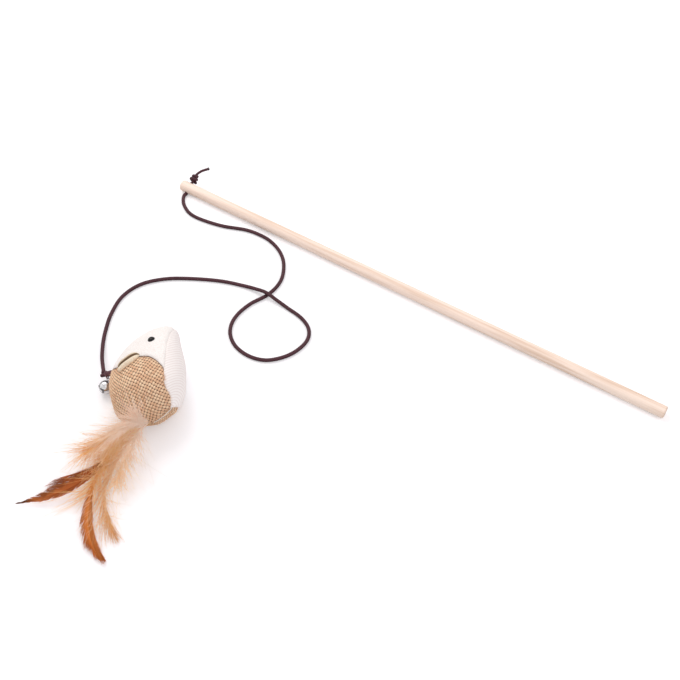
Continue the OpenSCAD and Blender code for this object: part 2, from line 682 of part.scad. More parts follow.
stick();
cord_in_stick();
tip_knot();
cord_tail();
tail_seal();
cord();
neck_cord();
neck_binding();
inner_knot();
head_right();
head_left();
body_right();
body_left();
belly_panel();
stuffing();
ear_right();
ear_left();
eye_right();
eye_left();
closing_thread();
bell_cap();
bell_cup();
bell_eyelet();
bell_tie();
bell_pellet();
quill_bundle();
feather_rust();
feather_orange();
feather_tan();
plume_left();
plume_right();
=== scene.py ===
"""The looks of a cat teaser wand: a wooden stick, an elastic cord, and a stuffed mouse
with a jingle bell and a feather tail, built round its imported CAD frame."""

import math
from collections import namedtuple

import bpy
import numpy as np
from mathutils import Matrix, Vector


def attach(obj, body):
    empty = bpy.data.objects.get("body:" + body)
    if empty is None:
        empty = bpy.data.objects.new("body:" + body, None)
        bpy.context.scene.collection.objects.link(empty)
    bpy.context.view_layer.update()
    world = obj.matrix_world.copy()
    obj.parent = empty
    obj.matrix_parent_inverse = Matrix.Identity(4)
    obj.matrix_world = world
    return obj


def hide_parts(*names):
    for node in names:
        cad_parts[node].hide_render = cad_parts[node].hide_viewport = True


bl_info = {
    "name": "Cat Teaser Wand",
    "version": (1, 0, 0),
    "blender": (4, 5, 0),
    "location": "3D View > Sidebar > Teaser Wand",
    "description": "Builds the cloth, cord, feathers, bell and stage of a cat teaser wand",
    "category": "Add Mesh",
}

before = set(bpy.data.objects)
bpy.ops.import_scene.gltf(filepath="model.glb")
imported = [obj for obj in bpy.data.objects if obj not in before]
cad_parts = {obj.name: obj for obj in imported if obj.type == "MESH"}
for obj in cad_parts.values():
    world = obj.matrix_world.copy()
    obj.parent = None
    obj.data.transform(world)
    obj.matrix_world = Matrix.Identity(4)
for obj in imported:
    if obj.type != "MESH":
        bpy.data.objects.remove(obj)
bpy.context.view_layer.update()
MM = 0.001

# ---------------------------------------------------------------- values as in the CAD

HOLE = np.array([-373.5, 0.0, 0.0]) * MM
HOLE_SLOPE = math.radians(32)
HOLE_AXIS = np.array([0, -math.cos(HOLE_SLOPE), -math.sin(HOLE_SLOPE)])
MOUTH = 4.4 * MM  # from the stick's middle to where the cord leaves the hole
# The cord's middle line from the hole, with heights above where a lying cord has it
CORD_ROUTE = np.array([
    [-0.3, -5.6, 0.1], [1.3, -9.1, 0], [6.3, -14.3, 0], [15, -18.8, 0], [25.5, -19.5, 0],
    [43, -16.5, 0], [59.5, -10.5, 0], [71, -9, 0], [81.5, -10, 0], [92.5, -14.5, 0],
    [101.5, -22, 0], [108.5, -33, 0], [111, -43, 0], [110, -54, 0], [105.5, -66, 0],
    [104, -78, 0], [106, -88, 0], [111.5, -96, 0], [120.5, -101.5, 0], [132, -103, 0],
    [142.5, -100, 0], [150.5, -92, 0], [155, -82, 0], [155.5, -71, 0], [150.5, -62.5, 0],
    [141, -57.5, 0], [129, -55.5, 0.1], [119, -54.5, 1.3], [110, -54, 2.9], [101, -54, 1.3],
    [91, -55.5, 0.1], [75.5, -60.5, 0], [57, -70, 0], [42.5, -80, 0], [32, -93, 0],
    [29, -108.5, 0], [33, -124, 0], [39, -136, 0], [45.5, -146, 0.5], [54.5, -156.5, 2.9],
    [62, -163.5, 5.8], [66.5, -167.3, 7.8]]) * MM
TAIL_ROUTE = np.array([[0.4, 11, 6.5], [1.4, 14, 7], [2.6, 16.6, 6.9], [3.8, 19.2, 6.6]]) * MM
# The mouse's sections: x over half the belly's length, then the width as a share of the body's,
# and the heights of the bottom, the widest line and the back as shares of the body's height
BODY_SHARES = np.array([
    [-1.18, 0.03, 0.36, 0.41, 0.47], [-1.15, 0.30, 0.30, 0.40, 0.61],
    [-1.07, 0.49, 0.20, 0.36, 0.74], [-0.94, 0.63, 0.08, 0.32, 0.86],
    [-0.73, 0.81, -0.02, 0.29, 0.95], [-0.45, 0.96, -0.09, 0.27, 1.00],
    [-0.10, 1.00, -0.11, 0.26, 1.03], [0.20, 0.96, -0.10, 0.25, 1.00],
    [0.45, 0.87, -0.08, 0.24, 0.91], [0.67, 0.73, -0.06, 0.22, 0.75],
    [0.85, 0.53, -0.05, 0.19, 0.56], [0.97, 0.30, -0.01, 0.15, 0.37],
    [1.02, 0.03, 0.07, 0.11, 0.16]])
# The belly panel's seam: x over half the belly's length, then degrees from the bottom
SEAM_ANGLES = np.array([
    [-1.18, 0], [-0.97, 0], [-0.92, 9], [-0.84, 24], [-0.75, 44], [-0.6, 55], [-0.3, 56],
    [0, 54], [0.25, 50], [0.5, 45], [0.7, 38], [0.85, 28], [0.95, 15], [1.02, 2]])
NECK_SHARE = 0.29  # the neck's x over half the belly's length
NECK_SEAM_DROP = 0.65  # how far back the head's seam runs at the belly, over the same
TOY_ORIGIN = np.array([-262.6, -147.6, 18.0736]) * MM
NECK_END = np.array([-303.627, -171.353, 6.46824]) * MM
NECK_RISER = np.array([-0.61775, 0.742234, -0.259757])
BELL_CENTRE = np.array([-299.419, -174.702, 0.883347]) * MM
TAIL_BASE = np.array([-250.911, -185.908, 14.0069]) * MM
TAIL_DIR = np.array([-0.493717, -0.838633, -0.230081])
# Routes of the feathers and the plumes from the tail's base, as shares of the feathers' length
RUST_ROUTE = np.array([
    [-0.076, -0.113, -0.027], [-0.096, -0.244, -0.073], [-0.111, -0.422, -0.111],
    [-0.172, -0.6, -0.142], [-0.283, -0.756, -0.164], [-0.417, -0.889, -0.177]])
ORANGE_ROUTE = np.array([
    [-0.069, -0.122, -0.042], [-0.094, -0.233, -0.089], [-0.1, -0.367, -0.122],
    [-0.072, -0.511, -0.142], [0, -0.644, -0.159], [0.089, -0.75, -0.17],
    [0.2, -0.833, -0.179], [0.333, -0.889, -0.184]])
TAN_ROUTE = np.array([
    [-0.056, -0.12, -0.04], [-0.059, -0.222, -0.094], [-0.05, -0.344, -0.13],
    [-0.006, -0.483, -0.159], [0.072, -0.578, -0.168], [0.189, -0.661, -0.176],
    [0.333, -0.733, -0.182]])
LEFT_ROUTE = np.array([
    [-0.028, -0.039, 0.018], [-0.083, -0.122, 0.056], [-0.128, -0.239, 0.044],
    [-0.189, -0.372, -0.011], [-0.267, -0.506, -0.067]])
RIGHT_ROUTE = np.array([
    [-0.01, -0.067, -0.011], [0.017, -0.15, -0.007], [0.044, -0.256, -0.029],
    [0.078, -0.367, -0.064], [0.117, -0.467, -0.1]])

# ---------------------------------------------------------------- values of the looks alone

CAMERA_RISE, CAMERA_TURN = 50, 33.4  # degrees above the surface and round Z
CAMERA_TARGET, CAMERA_DISTANCE = (-0.2007, -0.0585, -0.004), 0.6686  # metres
# The picture's right and its depth, along the surface
SCREEN_RIGHT, SCREEN_AWAY = np.array([0.835, 0.55, 0.0]), np.array([-0.55, 0.835, 0.0])
AMBIENT, AMBIENT_TINT = 0.68, (1.0, 0.97, 0.985)
FLOOR_GLOW = 0.27  # keeps the floor white where the camera sees it
# How far above the surface the tips of vanes, down and burlap fibres stay
VANE_CLEAR, DOWN_CLEAR, FIBRE_CLEAR = 1.2 * MM, 2.1 * MM, 0.4 * MM
WEAVE_TURN = 40  # degrees from the burlap's yarns to the body's length
# Widths of each vane on its far and near side: shares of the shaft's length, then of the width
RUST_FAR = ((0, 0.0), (0.24, 0.02), (0.28, 0.3), (0.31, 0.75), (0.35, 1.15), (0.4, 1.15),
            (0.46, 0.9), (0.52, 0.7), (0.6, 0.5), (0.68, 0.36), (0.78, 0.24), (0.88, 0.1),
            (1, 0.02))
RUST_NEAR = ((0, 0.0), (0.27, 0.02), (0.34, 0.16), (0.45, 0.22), (0.55, 0.27), (0.65, 0.26),
             (0.75, 0.2), (0.85, 0.1), (1, 0.02))
ORANGE_FAR = ((0, 0.02), (0.3, 0.1), (0.4, 0.28), (0.5, 0.52), (0.58, 0.64), (0.66, 0.62),
              (0.75, 0.48), (0.84, 0.3), (0.92, 0.16), (1, 0.05))
ORANGE_NEAR = ((0, 0.02), (0.35, 0.1), (0.45, 0.35), (0.54, 0.8), (0.63, 1.25), (0.7, 1.6),
               (0.8, 1.35), (0.89, 0.7), (1, 0.1))
TAN_SHARES = ((0, 0.05), (0.25, 0.35), (0.5, 0.75), (0.7, 1), (0.88, 0.8), (1, 0.35))
# A vane: the gap between barbs in mm, the share of the shaft where barbs stop, how loose they
# are, their slant and the far side's tilt in degrees, the number of tufts and their curl
Vane = namedtuple("Vane", "name route width far near gap stop loose slant tufts curl tilt")
# The right plume's route, drawn in from the solid's as the photograph shows it
RIGHT_INWARD = RIGHT_ROUTE + np.linspace(0.4, 1, 5)[:, None] * (-0.036, -0.022, 0)
# Groups of down: name, route, number of barbs, shares of the route where they start and end,
# length in mm, lean to the picture's right, lift, and whether they are golden
DOWN = (
    ("left", LEFT_ROUTE, 1200, 0.0, 0.74, 8.4, -0.4, 0.25, False),
    ("right", RIGHT_INWARD, 230, 0.04, 0.95, 7.6, 0.1, 0.1, False),
    ("rust", RUST_ROUTE, 640, 0.04, 0.34, 7.4, -0.2, 0.3, True),
    ("orange", ORANGE_ROUTE, 640, 0.04, 0.5, 7.6, -0.1, 0.2, True),
    ("tan", TAN_ROUTE, 200, 0.04, 0.5, 7.4, 0.1, 0.2, False),
    ("spikes", LEFT_ROUTE, 120, 0.48, 0.76, 9.5, -0.7, 0.15, True),
    ("core", ORANGE_ROUTE, 380, 0.2, 0.4, 7.0, -0.3, 0.5, True),
    ("wisps", RIGHT_INWARD, 200, 0.2, 0.9, 11.0, 0.9, 0.1, False),
    ("strands", ORANGE_ROUTE, 130, 0.38, 0.56, 12.5, -0.25, 0.0, True),
    ("spray", RUST_ROUTE, 200, 0.16, 0.32, 9.5, -0.9, 0.35, True),
    ("loose", TAN_ROUTE, 110, 0.5, 0.8, 13.0, -0.5, 0.1, False),
    ("puff", LEFT_ROUTE, 390, 0.0, 0.16, 9.0, -0.4, 1.1, False))


# ---------------------------------------------------------------- sizes and colours

def length(name, description, default):
    return bpy.props.FloatProperty(name=name, description=description, default=default,
                                   min=0.0, precision=5, unit="LENGTH")


def number(name, description, default):
    return bpy.props.FloatProperty(name=name, description=description, default=default)


def linear(r, g, b):
    """The linear colour of an sRGB one given as 0 to 255."""
    return tuple((c / 255 / 12.92) if c < 11 else ((c / 255 + 0.055) / 1.055) ** 2.4
                 for c in (r, g, b))


def colour(name, description, r, g, b):
    return bpy.props.FloatVectorProperty(name=name, description=description, size=3,
                                         subtype="COLOR", min=0.0, max=1.0,
                                         default=linear(r, g, b))


class WandSizes(bpy.types.PropertyGroup):
    """Sizes of the stick and of the elastic cord."""
    stick_d: length("Stick diameter", "Diameter of the wooden stick", 0.008)
    cord_d: length("Cord diameter", "Diameter of the elastic cord", 0.0025)
    tail_d: length("Tail diameter", "Diameter of the cord's stretched free end", 0.0019)
    knot_strand_d: length("Knot strand", "Diameter of the strand in the tip knot", 0.0018)
    knot_turns: number("Knot turns", "Turns of the tip knot", 2.0)
    knot_gap: length("Knot gap", "Gap between neighbouring turns of the knot", 0.0006)
    braid_pitch: length("Braid pitch", "Length of one crossing of the braid", 0.0011)
    neck_len: length("Neck length", "Length of the neck out of the mouse's back", 0.0083)
    binding_d: length("Binding diameter", "Diameter of the binding round the neck", 0.0037)


class MouseSizes(bpy.types.PropertyGroup):
    """Sizes of the stuffed mouse and of its cloths."""
    belly_len: length("Belly length", "Length of the flat belly panel", 0.062)
    body_w: length("Body width", "Width of the body", 0.036)
    body_h: length("Body height", "Height from the belly seam to the back", 0.041)
    cloth_t: length("Cloth", "Thickness of the sewn cloth", 0.001)
    toy_roll: number("Roll", "Roll past its side, in degrees", 14.0)
    toy_yaw: number("Heading", "Heading of the nose, in degrees", 131.0)
    ear_h: length("Ear height", "Height to which an ear stands out", 0.0034)
    ear_lip: length("Ear lip", "Thickness of an ear's rolled lip", 0.0022)
    burlap_pitch: length("Burlap pitch", "Distance between the burlap's yarns", 0.00195)
    cotton_pitch: length("Cotton pitch", "Distance between the white cloth's yarns", 0.00062)
    rib_pitch: length("Rib pitch", "Distance between the belly cloth's ribs", 0.0019)


class FeatherSizes(bpy.types.PropertyGroup):
    """Sizes of the feather tail."""
    feather_len: length("Feather length", "Length of the longest feather", 0.09)
    rust_w: length("Rust vane", "Width of the rust-brown vane", 0.012)
    orange_w: length("Orange vane", "Width of the orange-brown vane", 0.010)
    tan_w: length("Tan vane", "Width of the tan vane", 0.010)
    barb_w: length("Barb", "Width of one barb of a vane", 0.00034)
    down_w: length("Down barb", "Width of one barb of the down", 0.00013)


class FinishColours(bpy.types.PropertyGroup):
    """Colours of the finishes."""
    wood: colour("Wood", "Sanded pale wood", 255, 233, 217)
    wood_grain: colour("Wood grain", "Darker grain of the wood", 220, 188, 162)
    cord: colour("Cord", "Aubergine-brown elastic", 88, 50, 58)
    # Painted shade in the gaps between the cord's yarns; also the dark of its soiling and of the
    # melted end
    cord_dark_and_gap_shade: colour("Cord shade", "Gaps between the cord's yarns", 34, 15, 19)
    melted: colour("Melted end", "Melted end of the cord", 105, 96, 96)
    cotton: colour("White cloth", "White cotton", 250, 244, 240)
    # Painted shade in the gaps between the white cloth's yarns and in its ribs' grooves
    cotton_shade: colour("White cloth shade", "Gaps of the white cloth", 234, 222, 217)
    burlap: colour("Burlap", "Lit burlap yarn", 255, 214, 178)
    # Painted shade in the gaps between the burlap's yarns, and at half its value where the 'shade'
    # attribute is high
    burlap_shade: colour("Burlap shade", "Gaps of the burlap", 84, 30, 14)
    ear: colour("Ear", "Cream cloth of the ears", 255, 238, 214)
    quill: colour("Quill", "Horn of the quills", 226, 196, 150)
    rust: colour("Rust", "Rust-brown vane", 172, 84, 36)
    orange: colour("Orange", "Orange-brown vane", 208, 118, 54)
    tan: colour("Tan", "Tan vane", 236, 198, 156)
    metal: colour("Bell metal", "Nickel plate", 226, 224, 224)


class TeaserWand(bpy.types.PropertyGroup):
    """All the settings of the teaser wand."""
    wand: bpy.props.PointerProperty(type=WandSizes, name="Wand")
    mouse: bpy.props.PointerProperty(type=MouseSizes, name="Mouse")
    feather: bpy.props.PointerProperty(type=FeatherSizes, name="Feathers")
    finish: bpy.props.PointerProperty(type=FinishColours, name="Finishes")


def settings():
    return bpy.context.scene.teaser_wand


# ---------------------------------------------------------------- curves and meshes

def unit(v):
    v = np.asarray(v, float)
    return v / np.maximum(np.linalg.norm(v, axis=-1, keepdims=True), 1e-12)


def run_of(points):
    """How far each point is along a line of points, in metres."""
    return np.r_[0, np.cumsum(np.linalg.norm(np.diff(points, axis=0), axis=1))]


def through(points, step):
    """A smooth curve through the points, sampled evenly about every step."""
    p = np.asarray(points, float)
    p = np.vstack([2 * p[0] - p[1], p, 2 * p[-1] - p[-2]])
    t = np.linspace(0, 1, 24, endpoint=False)[:, None]
    dense = [0.5 * (2 * b + (c - a) * t + (2 * a - 5 * b + 4 * c - d) * t * t
                    + (3 * b - a - 3 * c + d) * t ** 3)
             for a, b, c, d in zip(p, p[1:], p[2:], p[3:])]
    dense = np.vstack(dense + [p[-2:-1]])
    run = run_of(dense)
    at = np.linspace(0, run[-1], max(2, int(round(run[-1] / step)) + 1))
    return np.stack([np.interp(at, run, dense[:, k]) for k in range(3)], 1)


def read_along(line, values, u):
    """Values kept at a line's points, read at shares u of its length."""
    run = run_of(line)
    return np.stack([np.interp(u, run / run[-1], values[:, k]) for k in range(3)], 1)


def carried_frames(points):
    """Tangents and two cross directions that don't twist along the curve."""
    t = unit(np.gradient(points, axis=0))
    side = np.zeros_like(t)
    first = np.cross(t[0], (0, 0, 1))
    side[0] = unit(first if np.linalg.norm(first) > 1e-6 else np.cross(t[0], (1, 0, 0)))
    for i in range(1, len(t)):
        side[i] = unit(side[i - 1] - t[i] * (side[i - 1] @ t[i]))
    return t, side, np.cross(side, t)


def mesh_object(name, verts, faces, material, uv=None, values=None, flat=False):
    """A mesh in metres; uv has one pair for each face corner, values one entry for each vertex."""
    mesh = bpy.data.meshes.new(name)
    mesh.from_pydata([tuple(v) for v in np.asarray(verts, float)], [],
                     [tuple(int(k) for k in f) for f in faces])
    if uv is not None:
        layer = mesh.uv_layers.new(name="UVMap")
        layer.data.foreach_set("uv", np.asarray(uv, np.float32).ravel())
    for key, data in (values or {}).items():
        data = np.asarray(data, np.float32)
        kind, field = ("FLOAT", "value") if data.ndim == 1 else ("FLOAT_VECTOR", "vector")
        mesh.attributes.new(key, kind, "POINT").data.foreach_set(field, data.ravel())
    mesh.polygons.foreach_set("use_smooth", [not flat] * len(mesh.polygons))
    if material is not None:
        mesh.materials.append(material)
    mesh.update()
    return shown(name, mesh)


def shown(name, data):
    """A new object in the scene that shows a mesh or a light."""
    obj = bpy.data.objects.new(name, data)
    bpy.context.scene.collection.objects.link(obj)
    return obj


def ring_faces(rings, sides):
    """Quads between neighbouring closed rings of vertices."""
    i, j = np.meshgrid(np.arange(rings - 1), np.arange(sides), indexing="ij")
    a, b = i * sides + j, i * sides + (j + 1) % sides
    return np.stack([a, b, b + sides, a + sides], -1).reshape(-1, 4)


def end_faces(rings, sides):
    """The two faces that close the first and the last ring."""
    return [tuple(range(sides)), tuple(range((rings - 1) * sides, rings * sides))[::-1]]


def tube(points, radii, sides):
    """Vertices, faces and UV of a round rod; UV is the run in metres and the turn from 0 to 1."""
    points = np.asarray(points, float)
    n, run, turn = len(points), run_of(points), np.arange(sides) / sides
    _, s, u = carried_frames(points)
    r = np.asarray(radii, float).reshape(-1, 1, 1)
    c, d = np.cos(2 * np.pi * turn)[:, None], np.sin(2 * np.pi * turn)[:, None]
    verts = points[:, None] + r * (c * s[:, None] + d * u[:, None])
    i, j = np.meshgrid(np.arange(n - 1), np.arange(sides), indexing="ij")
    v = turn[j]
    uv = np.stack([np.stack([run[i + k], v + e / sides], -1)
                   for k, e in ((1, 0), (1, 1), (0, 1), (0, 0))], 2).reshape(-1, 2)
    ends = [np.stack([np.full(sides, run[0]), turn], -1),
            np.stack([np.full(sides, run[-1]), turn], -1)[::-1]]
    faces = [tuple(f[::-1]) for f in ring_faces(n, sides)] + end_faces(n, sides)
    return verts.reshape(-1, 3), faces, np.vstack([uv, *ends])


def rod(name, line, radius, sides, material):
    """A tube as an object; its radius is one number, or one for each point."""
    verts, faces, uv = tube(line, np.broadcast_to(radius, len(line)), sides)
    return mesh_object(name, verts, faces, material, uv)


def joined(parts):
    """Several (verts, faces, uv) as one."""
    verts, faces, uvs, base = [], [], [], 0
    for v, f, uv in parts:
        verts.append(v)
        faces += [tuple(k + base for k in face) for face in f]
        uvs.append(uv)
        base += len(v)
    return np.vstack(verts), faces, np.vstack(uvs)


def lattice(seed, *shape):
    return np.random.RandomState(seed).rand(*shape)


def noise2(x, y, seed):
    """Smooth noise from -1 to 1 over x and y, one cell a unit."""
    size = 64
    table = lattice(seed, size, size) * 2 - 1
    x0, y0 = np.floor(x).astype(int), np.floor(y).astype(int)
    fx, fy = ((k - k0) ** 2 * (3 - 2 * (k - k0)) for k, k0 in ((x, x0), (y, y0)))

    def at(i, j):
        return table[(x0 + i) % size, (y0 + j) % size]
    return ((at(0, 0) * (1 - fx) + at(1, 0) * fx) * (1 - fy)
            + (at(0, 1) * (1 - fx) + at(1, 1) * fx) * fy)


def weave_height(x, y):
    """Height from 0 to 1 of a plain weave with one yarn a unit each way."""
    over = (np.floor(x) + np.floor(y)) % 2
    sx, sy = np.abs(np.sin(np.pi * (x % 1))), np.abs(np.sin(np.pi * (y % 1)))
    warp = sx ** 0.7 * (0.5 + 0.5 * sy)
    weft = sy ** 0.7 * (0.5 + 0.5 * sx)
    return np.where(over < 0.5, warp, weft)


# ---------------------------------------------------------------- the mouse's skin

def smooth_table(table):
    """A smooth reading of rows (x, values...), with no overshoot between them."""
    x, y = table[:, 0], table[:, 1:]
    h = np.diff(x)[:, None]
    d = np.diff(y, axis=0) / h
    m = np.zeros_like(y)
    w1, w2 = 2 * h[1:] + h[:-1], h[1:] + 2 * h[:-1]
    same = d[:-1] * d[1:] > 0
    safe = np.where(same, w1 / np.where(same, d[:-1], 1) + w2 / np.where(same, d[1:], 1), 1)
    m[1:-1] = np.where(same, (w1 + w2) / safe, 0)
    m[0], m[-1] = d[0], d[-1]

    def read(q, c):
        q = np.clip(q, x[0], x[-1])
        i = np.clip(np.searchsorted(x, q) - 1, 0, len(x) - 2)
        w = x[i + 1] - x[i]
        t = (q - x[i]) / w
        return (y[i, c] * (1 + 2 * t) * (1 - t) ** 2 + w * m[i, c] * t * (1 - t) ** 2
                + y[i + 1, c] * t * t * (3 - 2 * t) + w * m[i + 1, c] * t * t * (t - 1))
    return read


read_body = smooth_table(BODY_SHARES)
read_seam = smooth_table(SEAM_ANGLES)


class Mouse:
    """The mouse's form, upright with its nose along +X, and how it lies."""

    def __init__(self):
        m = settings().mouse
        self.half = m.belly_len / 2
        self.w, self.h, self.cloth = m.body_w, m.body_h, m.cloth_t
        self.roll, self.yaw = math.radians(90 + m.toy_roll), math.radians(m.toy_yaw)
        self.rump_x, self.nose_x = BODY_SHARES[0, 0] * self.half, BODY_SHARES[-1, 0] * self.half
        self.neck_x, self.drop = NECK_SHARE * self.half, NECK_SEAM_DROP * self.half
        self.neck_z = float(read_body(NECK_SHARE, 3)) * self.h

    def seam_angle(self, x):
        """Angle in degrees from the bottom at which the belly panel's seam runs."""
        return read_seam(x / self.half, 0)

    def seam_x(self, q):
        """Where the head's seam runs at share q of the way from the belly to the ridge."""
        # The burlap reaches 4.5 mm less far forward below the ear
        dip = 4.5 * MM * np.exp(-((q - 0.68) / 0.15) ** 2)
        return self.neck_x - self.drop * (1 - q) ** 2 - dip

    def skin(self, x, angle, side):
        """Points on the skin at an angle in degrees from the bottom, on side 1 or -1."""
        x, a = np.asarray(x, float), np.radians(angle)
        w = read_body(x / self.half, 0) * self.w / 2
        low, mid, top = (read_body(x / self.half, k) * self.h for k in (1, 2, 3))
        # A superellipse, with exponent 2.3 below the widest line and 1.9 above it
        under = np.asarray(angle) < 90
        power = np.where(under, 2 / 2.3, 2 / 1.9)
        c = np.cos(a)
        y = side * w * np.maximum(np.sin(a), 0) ** power
        z = mid - np.sign(c) * np.where(under, mid - low, top - mid) * np.abs(c) ** power
        return np.stack(np.broadcast_arrays(x, y, z), -1)

    def core(self, x):
        """The middle of the body at x, kept away from its ends."""
        inset = 0.26 * self.half
        x = np.clip(x, self.rump_x + inset, self.nose_x - inset)
        return np.stack([x, np.zeros_like(x), read_body(x / self.half, 2) * self.h], -1)

    def turned(self, p):
        """A direction of the upright mouse as it lies."""
        p = np.asarray(p, float)
        c, s = math.cos(-self.roll), math.sin(-self.roll)
        x, y, z = p[..., 0], p[..., 1] * c - p[..., 2] * s, p[..., 1] * s + p[..., 2] * c
        c, s = math.cos(self.yaw), math.sin(self.yaw)
        return np.stack([x * c - y * s, x * s + y * c, z], -1)

    def laid(self, p):
        """A point of the upright mouse as it lies."""
        return TOY_ORIGIN + self.turned(p)


def grid_normals(grid, inside):
    """Outward unit normals of a grid of points, away from the inside points."""
    n = unit(np.cross(np.gradient(grid, axis=0), np.gradient(grid, axis=1)))
    return n * (np.sign(np.median(np.sign(np.sum(n * (grid - inside), -1)))) or 1)


def grid_arcs(grid, axis):
    """How far each point of a grid is along an axis, in metres."""
    step = np.linalg.norm(np.diff(grid, axis=axis), axis=-1)
    lead = np.zeros((1, grid.shape[1]) if axis == 0 else (grid.shape[0], 1))
    return np.concatenate([lead, np.cumsum(step, axis=axis)], axis=axis)


def cloth_object(name, grid, normals, thickness, material, uv, shade=None):
    """A cloth's outer face from a grid of points, with its rim turned in by the thickness."""
    rows, cols = grid.shape[:2]
    i, j = np.meshgrid(np.arange(rows - 1), np.arange(cols - 1), indexing="ij")
    a = (i * cols + j).ravel()
    quads = np.stack([a, a + 1, a + cols + 1, a + cols], -1)
    p, n = grid.reshape(-1, 3), normals.reshape(-1, 3)
    rim = np.r_[np.arange(cols), np.arange(1, rows) * cols + cols - 1,
                (rows - 1) * cols + np.arange(cols - 2, -1, -1),
                np.arange(rows - 2, 0, -1) * cols]
    verts = np.vstack([p, p[rim] - n[rim] * thickness])
    k = np.arange(len(rim))
    after = (k + 1) % len(rim)
    walls = np.stack([rim, rim[after], len(p) + after, len(p) + k], -1)

    def facing(quad, away):
        return np.cross(verts[quad[1]] - verts[quad[0]], verts[quad[3]] - verts[quad[0]]) @ away
    q, w = quads[len(quads) // 2], walls[len(walls) // 8]
    if facing(q, n[q[0]]) < 0:
        quads = quads[:, ::-1]
    if facing(w, verts[w[0]] - p.mean(0)) < 0:
        walls = walls[:, ::-1]
    faces = np.vstack([quads, walls])
    source = np.r_[np.arange(len(p)), rim]
    return mesh_object(name, verts, faces, material, uv.reshape(-1, 2)[source][faces.ravel()],
                       None if shade is None else {"shade": shade.ravel()[source]})


# ---------------------------------------------------------------- node helpers

def put(tree, kind, ins=None, out=0, **options):
    """A new node with its options and inputs set; returns one of its outputs."""
    node = tree.nodes.new(kind)
    for key, value in options.items():
        setattr(node, key, value)
    for key, value in (ins or {}).items():
        if isinstance(value, bpy.types.NodeSocket):
            tree.links.new(value, node.inputs[key])
        else:
            node.inputs[key].default_value = value
    return node.outputs[out]


def calc(tree, operation, *values):
    return put(tree, "ShaderNodeMath", dict(enumerate(values)), operation=operation)


def times(tree, a, b):
    return calc(tree, "MULTIPLY", a, b)


def mixed(tree, share, a, b):
    """A mix of two numbers."""
    return put(tree, "ShaderNodeMix", {0: share, 2: a, 3: b}, data_type="FLOAT")


def blend(tree, share, a, b):
    """A mix of two colours; each is a socket or a tuple of three."""
    def full(c):
        return c if isinstance(c, bpy.types.NodeSocket) else (*tuple(c)[:3], 1.0)
    return put(tree, "ShaderNodeMix", {0: share, 6: full(a), 7: full(b)}, 2, data_type="RGBA")


def tinted(tree, mask, strength, base, over):
    """The base colour with another laid over it where the mask is 1, at a strength."""
    return blend(tree, times(tree, mask, strength), base, over)


def toned(shade, gain, lift=0.0):
    """A colour made lighter or darker, no part of it above 1."""
    return tuple(min(1, c * gain + lift) for c in shade)


def band(tree, value, low, high, to_low=0.0, to_high=1.0):
    return put(tree, "ShaderNodeMapRange", {0: value, 1: low, 2: high, 3: to_low, 4: to_high},
               interpolation_type="SMOOTHSTEP")


def noise(tree, vector, scale, detail=2.0, rough=0.5):
    return put(tree, "ShaderNodeTexNoise",
               {"Vector": vector, "Scale": scale, "Detail": detail, "Roughness": rough})


def scaled(tree, vector, scale, turn=(0, 0, 0), move=(0, 0, 0)):
    return put(tree, "ShaderNodeMapping",
               {"Vector": vector, "Scale": scale, "Rotation": turn, "Location": move})


def streaks(tree, vector, scale, detail=2.0, rough=0.5, **placed):
    """Noise drawn out by a scale for each axis."""
    return noise(tree, scaled(tree, vector, scale, **placed), 1.0, detail, rough)


def split(tree, vector):
    """The X, Y and Z sockets of a vector."""
    return put(tree, "ShaderNodeSeparateXYZ", {0: vector}).node.outputs


def attribute(tree, name):
    """A number that the mesh keeps at its points under a name."""
    return put(tree, "ShaderNodeAttribute", out=2, attribute_name=name)


def seen_directly(tree):
    """1 for what the camera, a reflection or glass sees, 0 for the light that falls on things."""
    rays = tree.nodes.new("ShaderNodeLightPath").outputs
    seen = calc(tree, "MAXIMUM", rays["Is Camera Ray"], rays["Is Glossy Ray"])
    return calc(tree, "MAXIMUM", seen, rays["Is Transmission Ray"])


def new_material(name):
    """A material's tree, its principled shader and its object and UV coordinates."""
    m = bpy.data.materials.new(name)
    m.use_nodes = True
    tree = m.node_tree
    tree.nodes.clear()
    shader = tree.nodes.new("ShaderNodeBsdfPrincipled")
    end = tree.nodes.new("ShaderNodeOutputMaterial")
    tree.links.new(shader.outputs[0], end.inputs["Surface"])
    place = tree.nodes.new("ShaderNodeTexCoord")
    return m, tree, shader, place.outputs["Object"], place.outputs["UV"]


def dress(tree, shader, colour_out, height=None, distance=0.0001, strength=1.0, roughness=0.5,
          **fixed):
    """Links colour, roughness and bump, and sets fixed sockets on the shader itself."""
    tree.links.new(colour_out, shader.inputs["Base Color"])
    if isinstance(roughness, bpy.types.NodeSocket):
        tree.links.new(roughness, shader.inputs["Roughness"])
    else:
        shader.inputs["Roughness"].default_value = roughness
    if height is not None:
        bump = put(tree, "ShaderNodeBump",
                   {"Height": height, "Distance": distance, "Strength": strength})
        tree.links.new(bump, shader.inputs["Normal"])
    for key, value in fixed.items():
        shader.inputs[key.replace("_", " ")].default_value = value


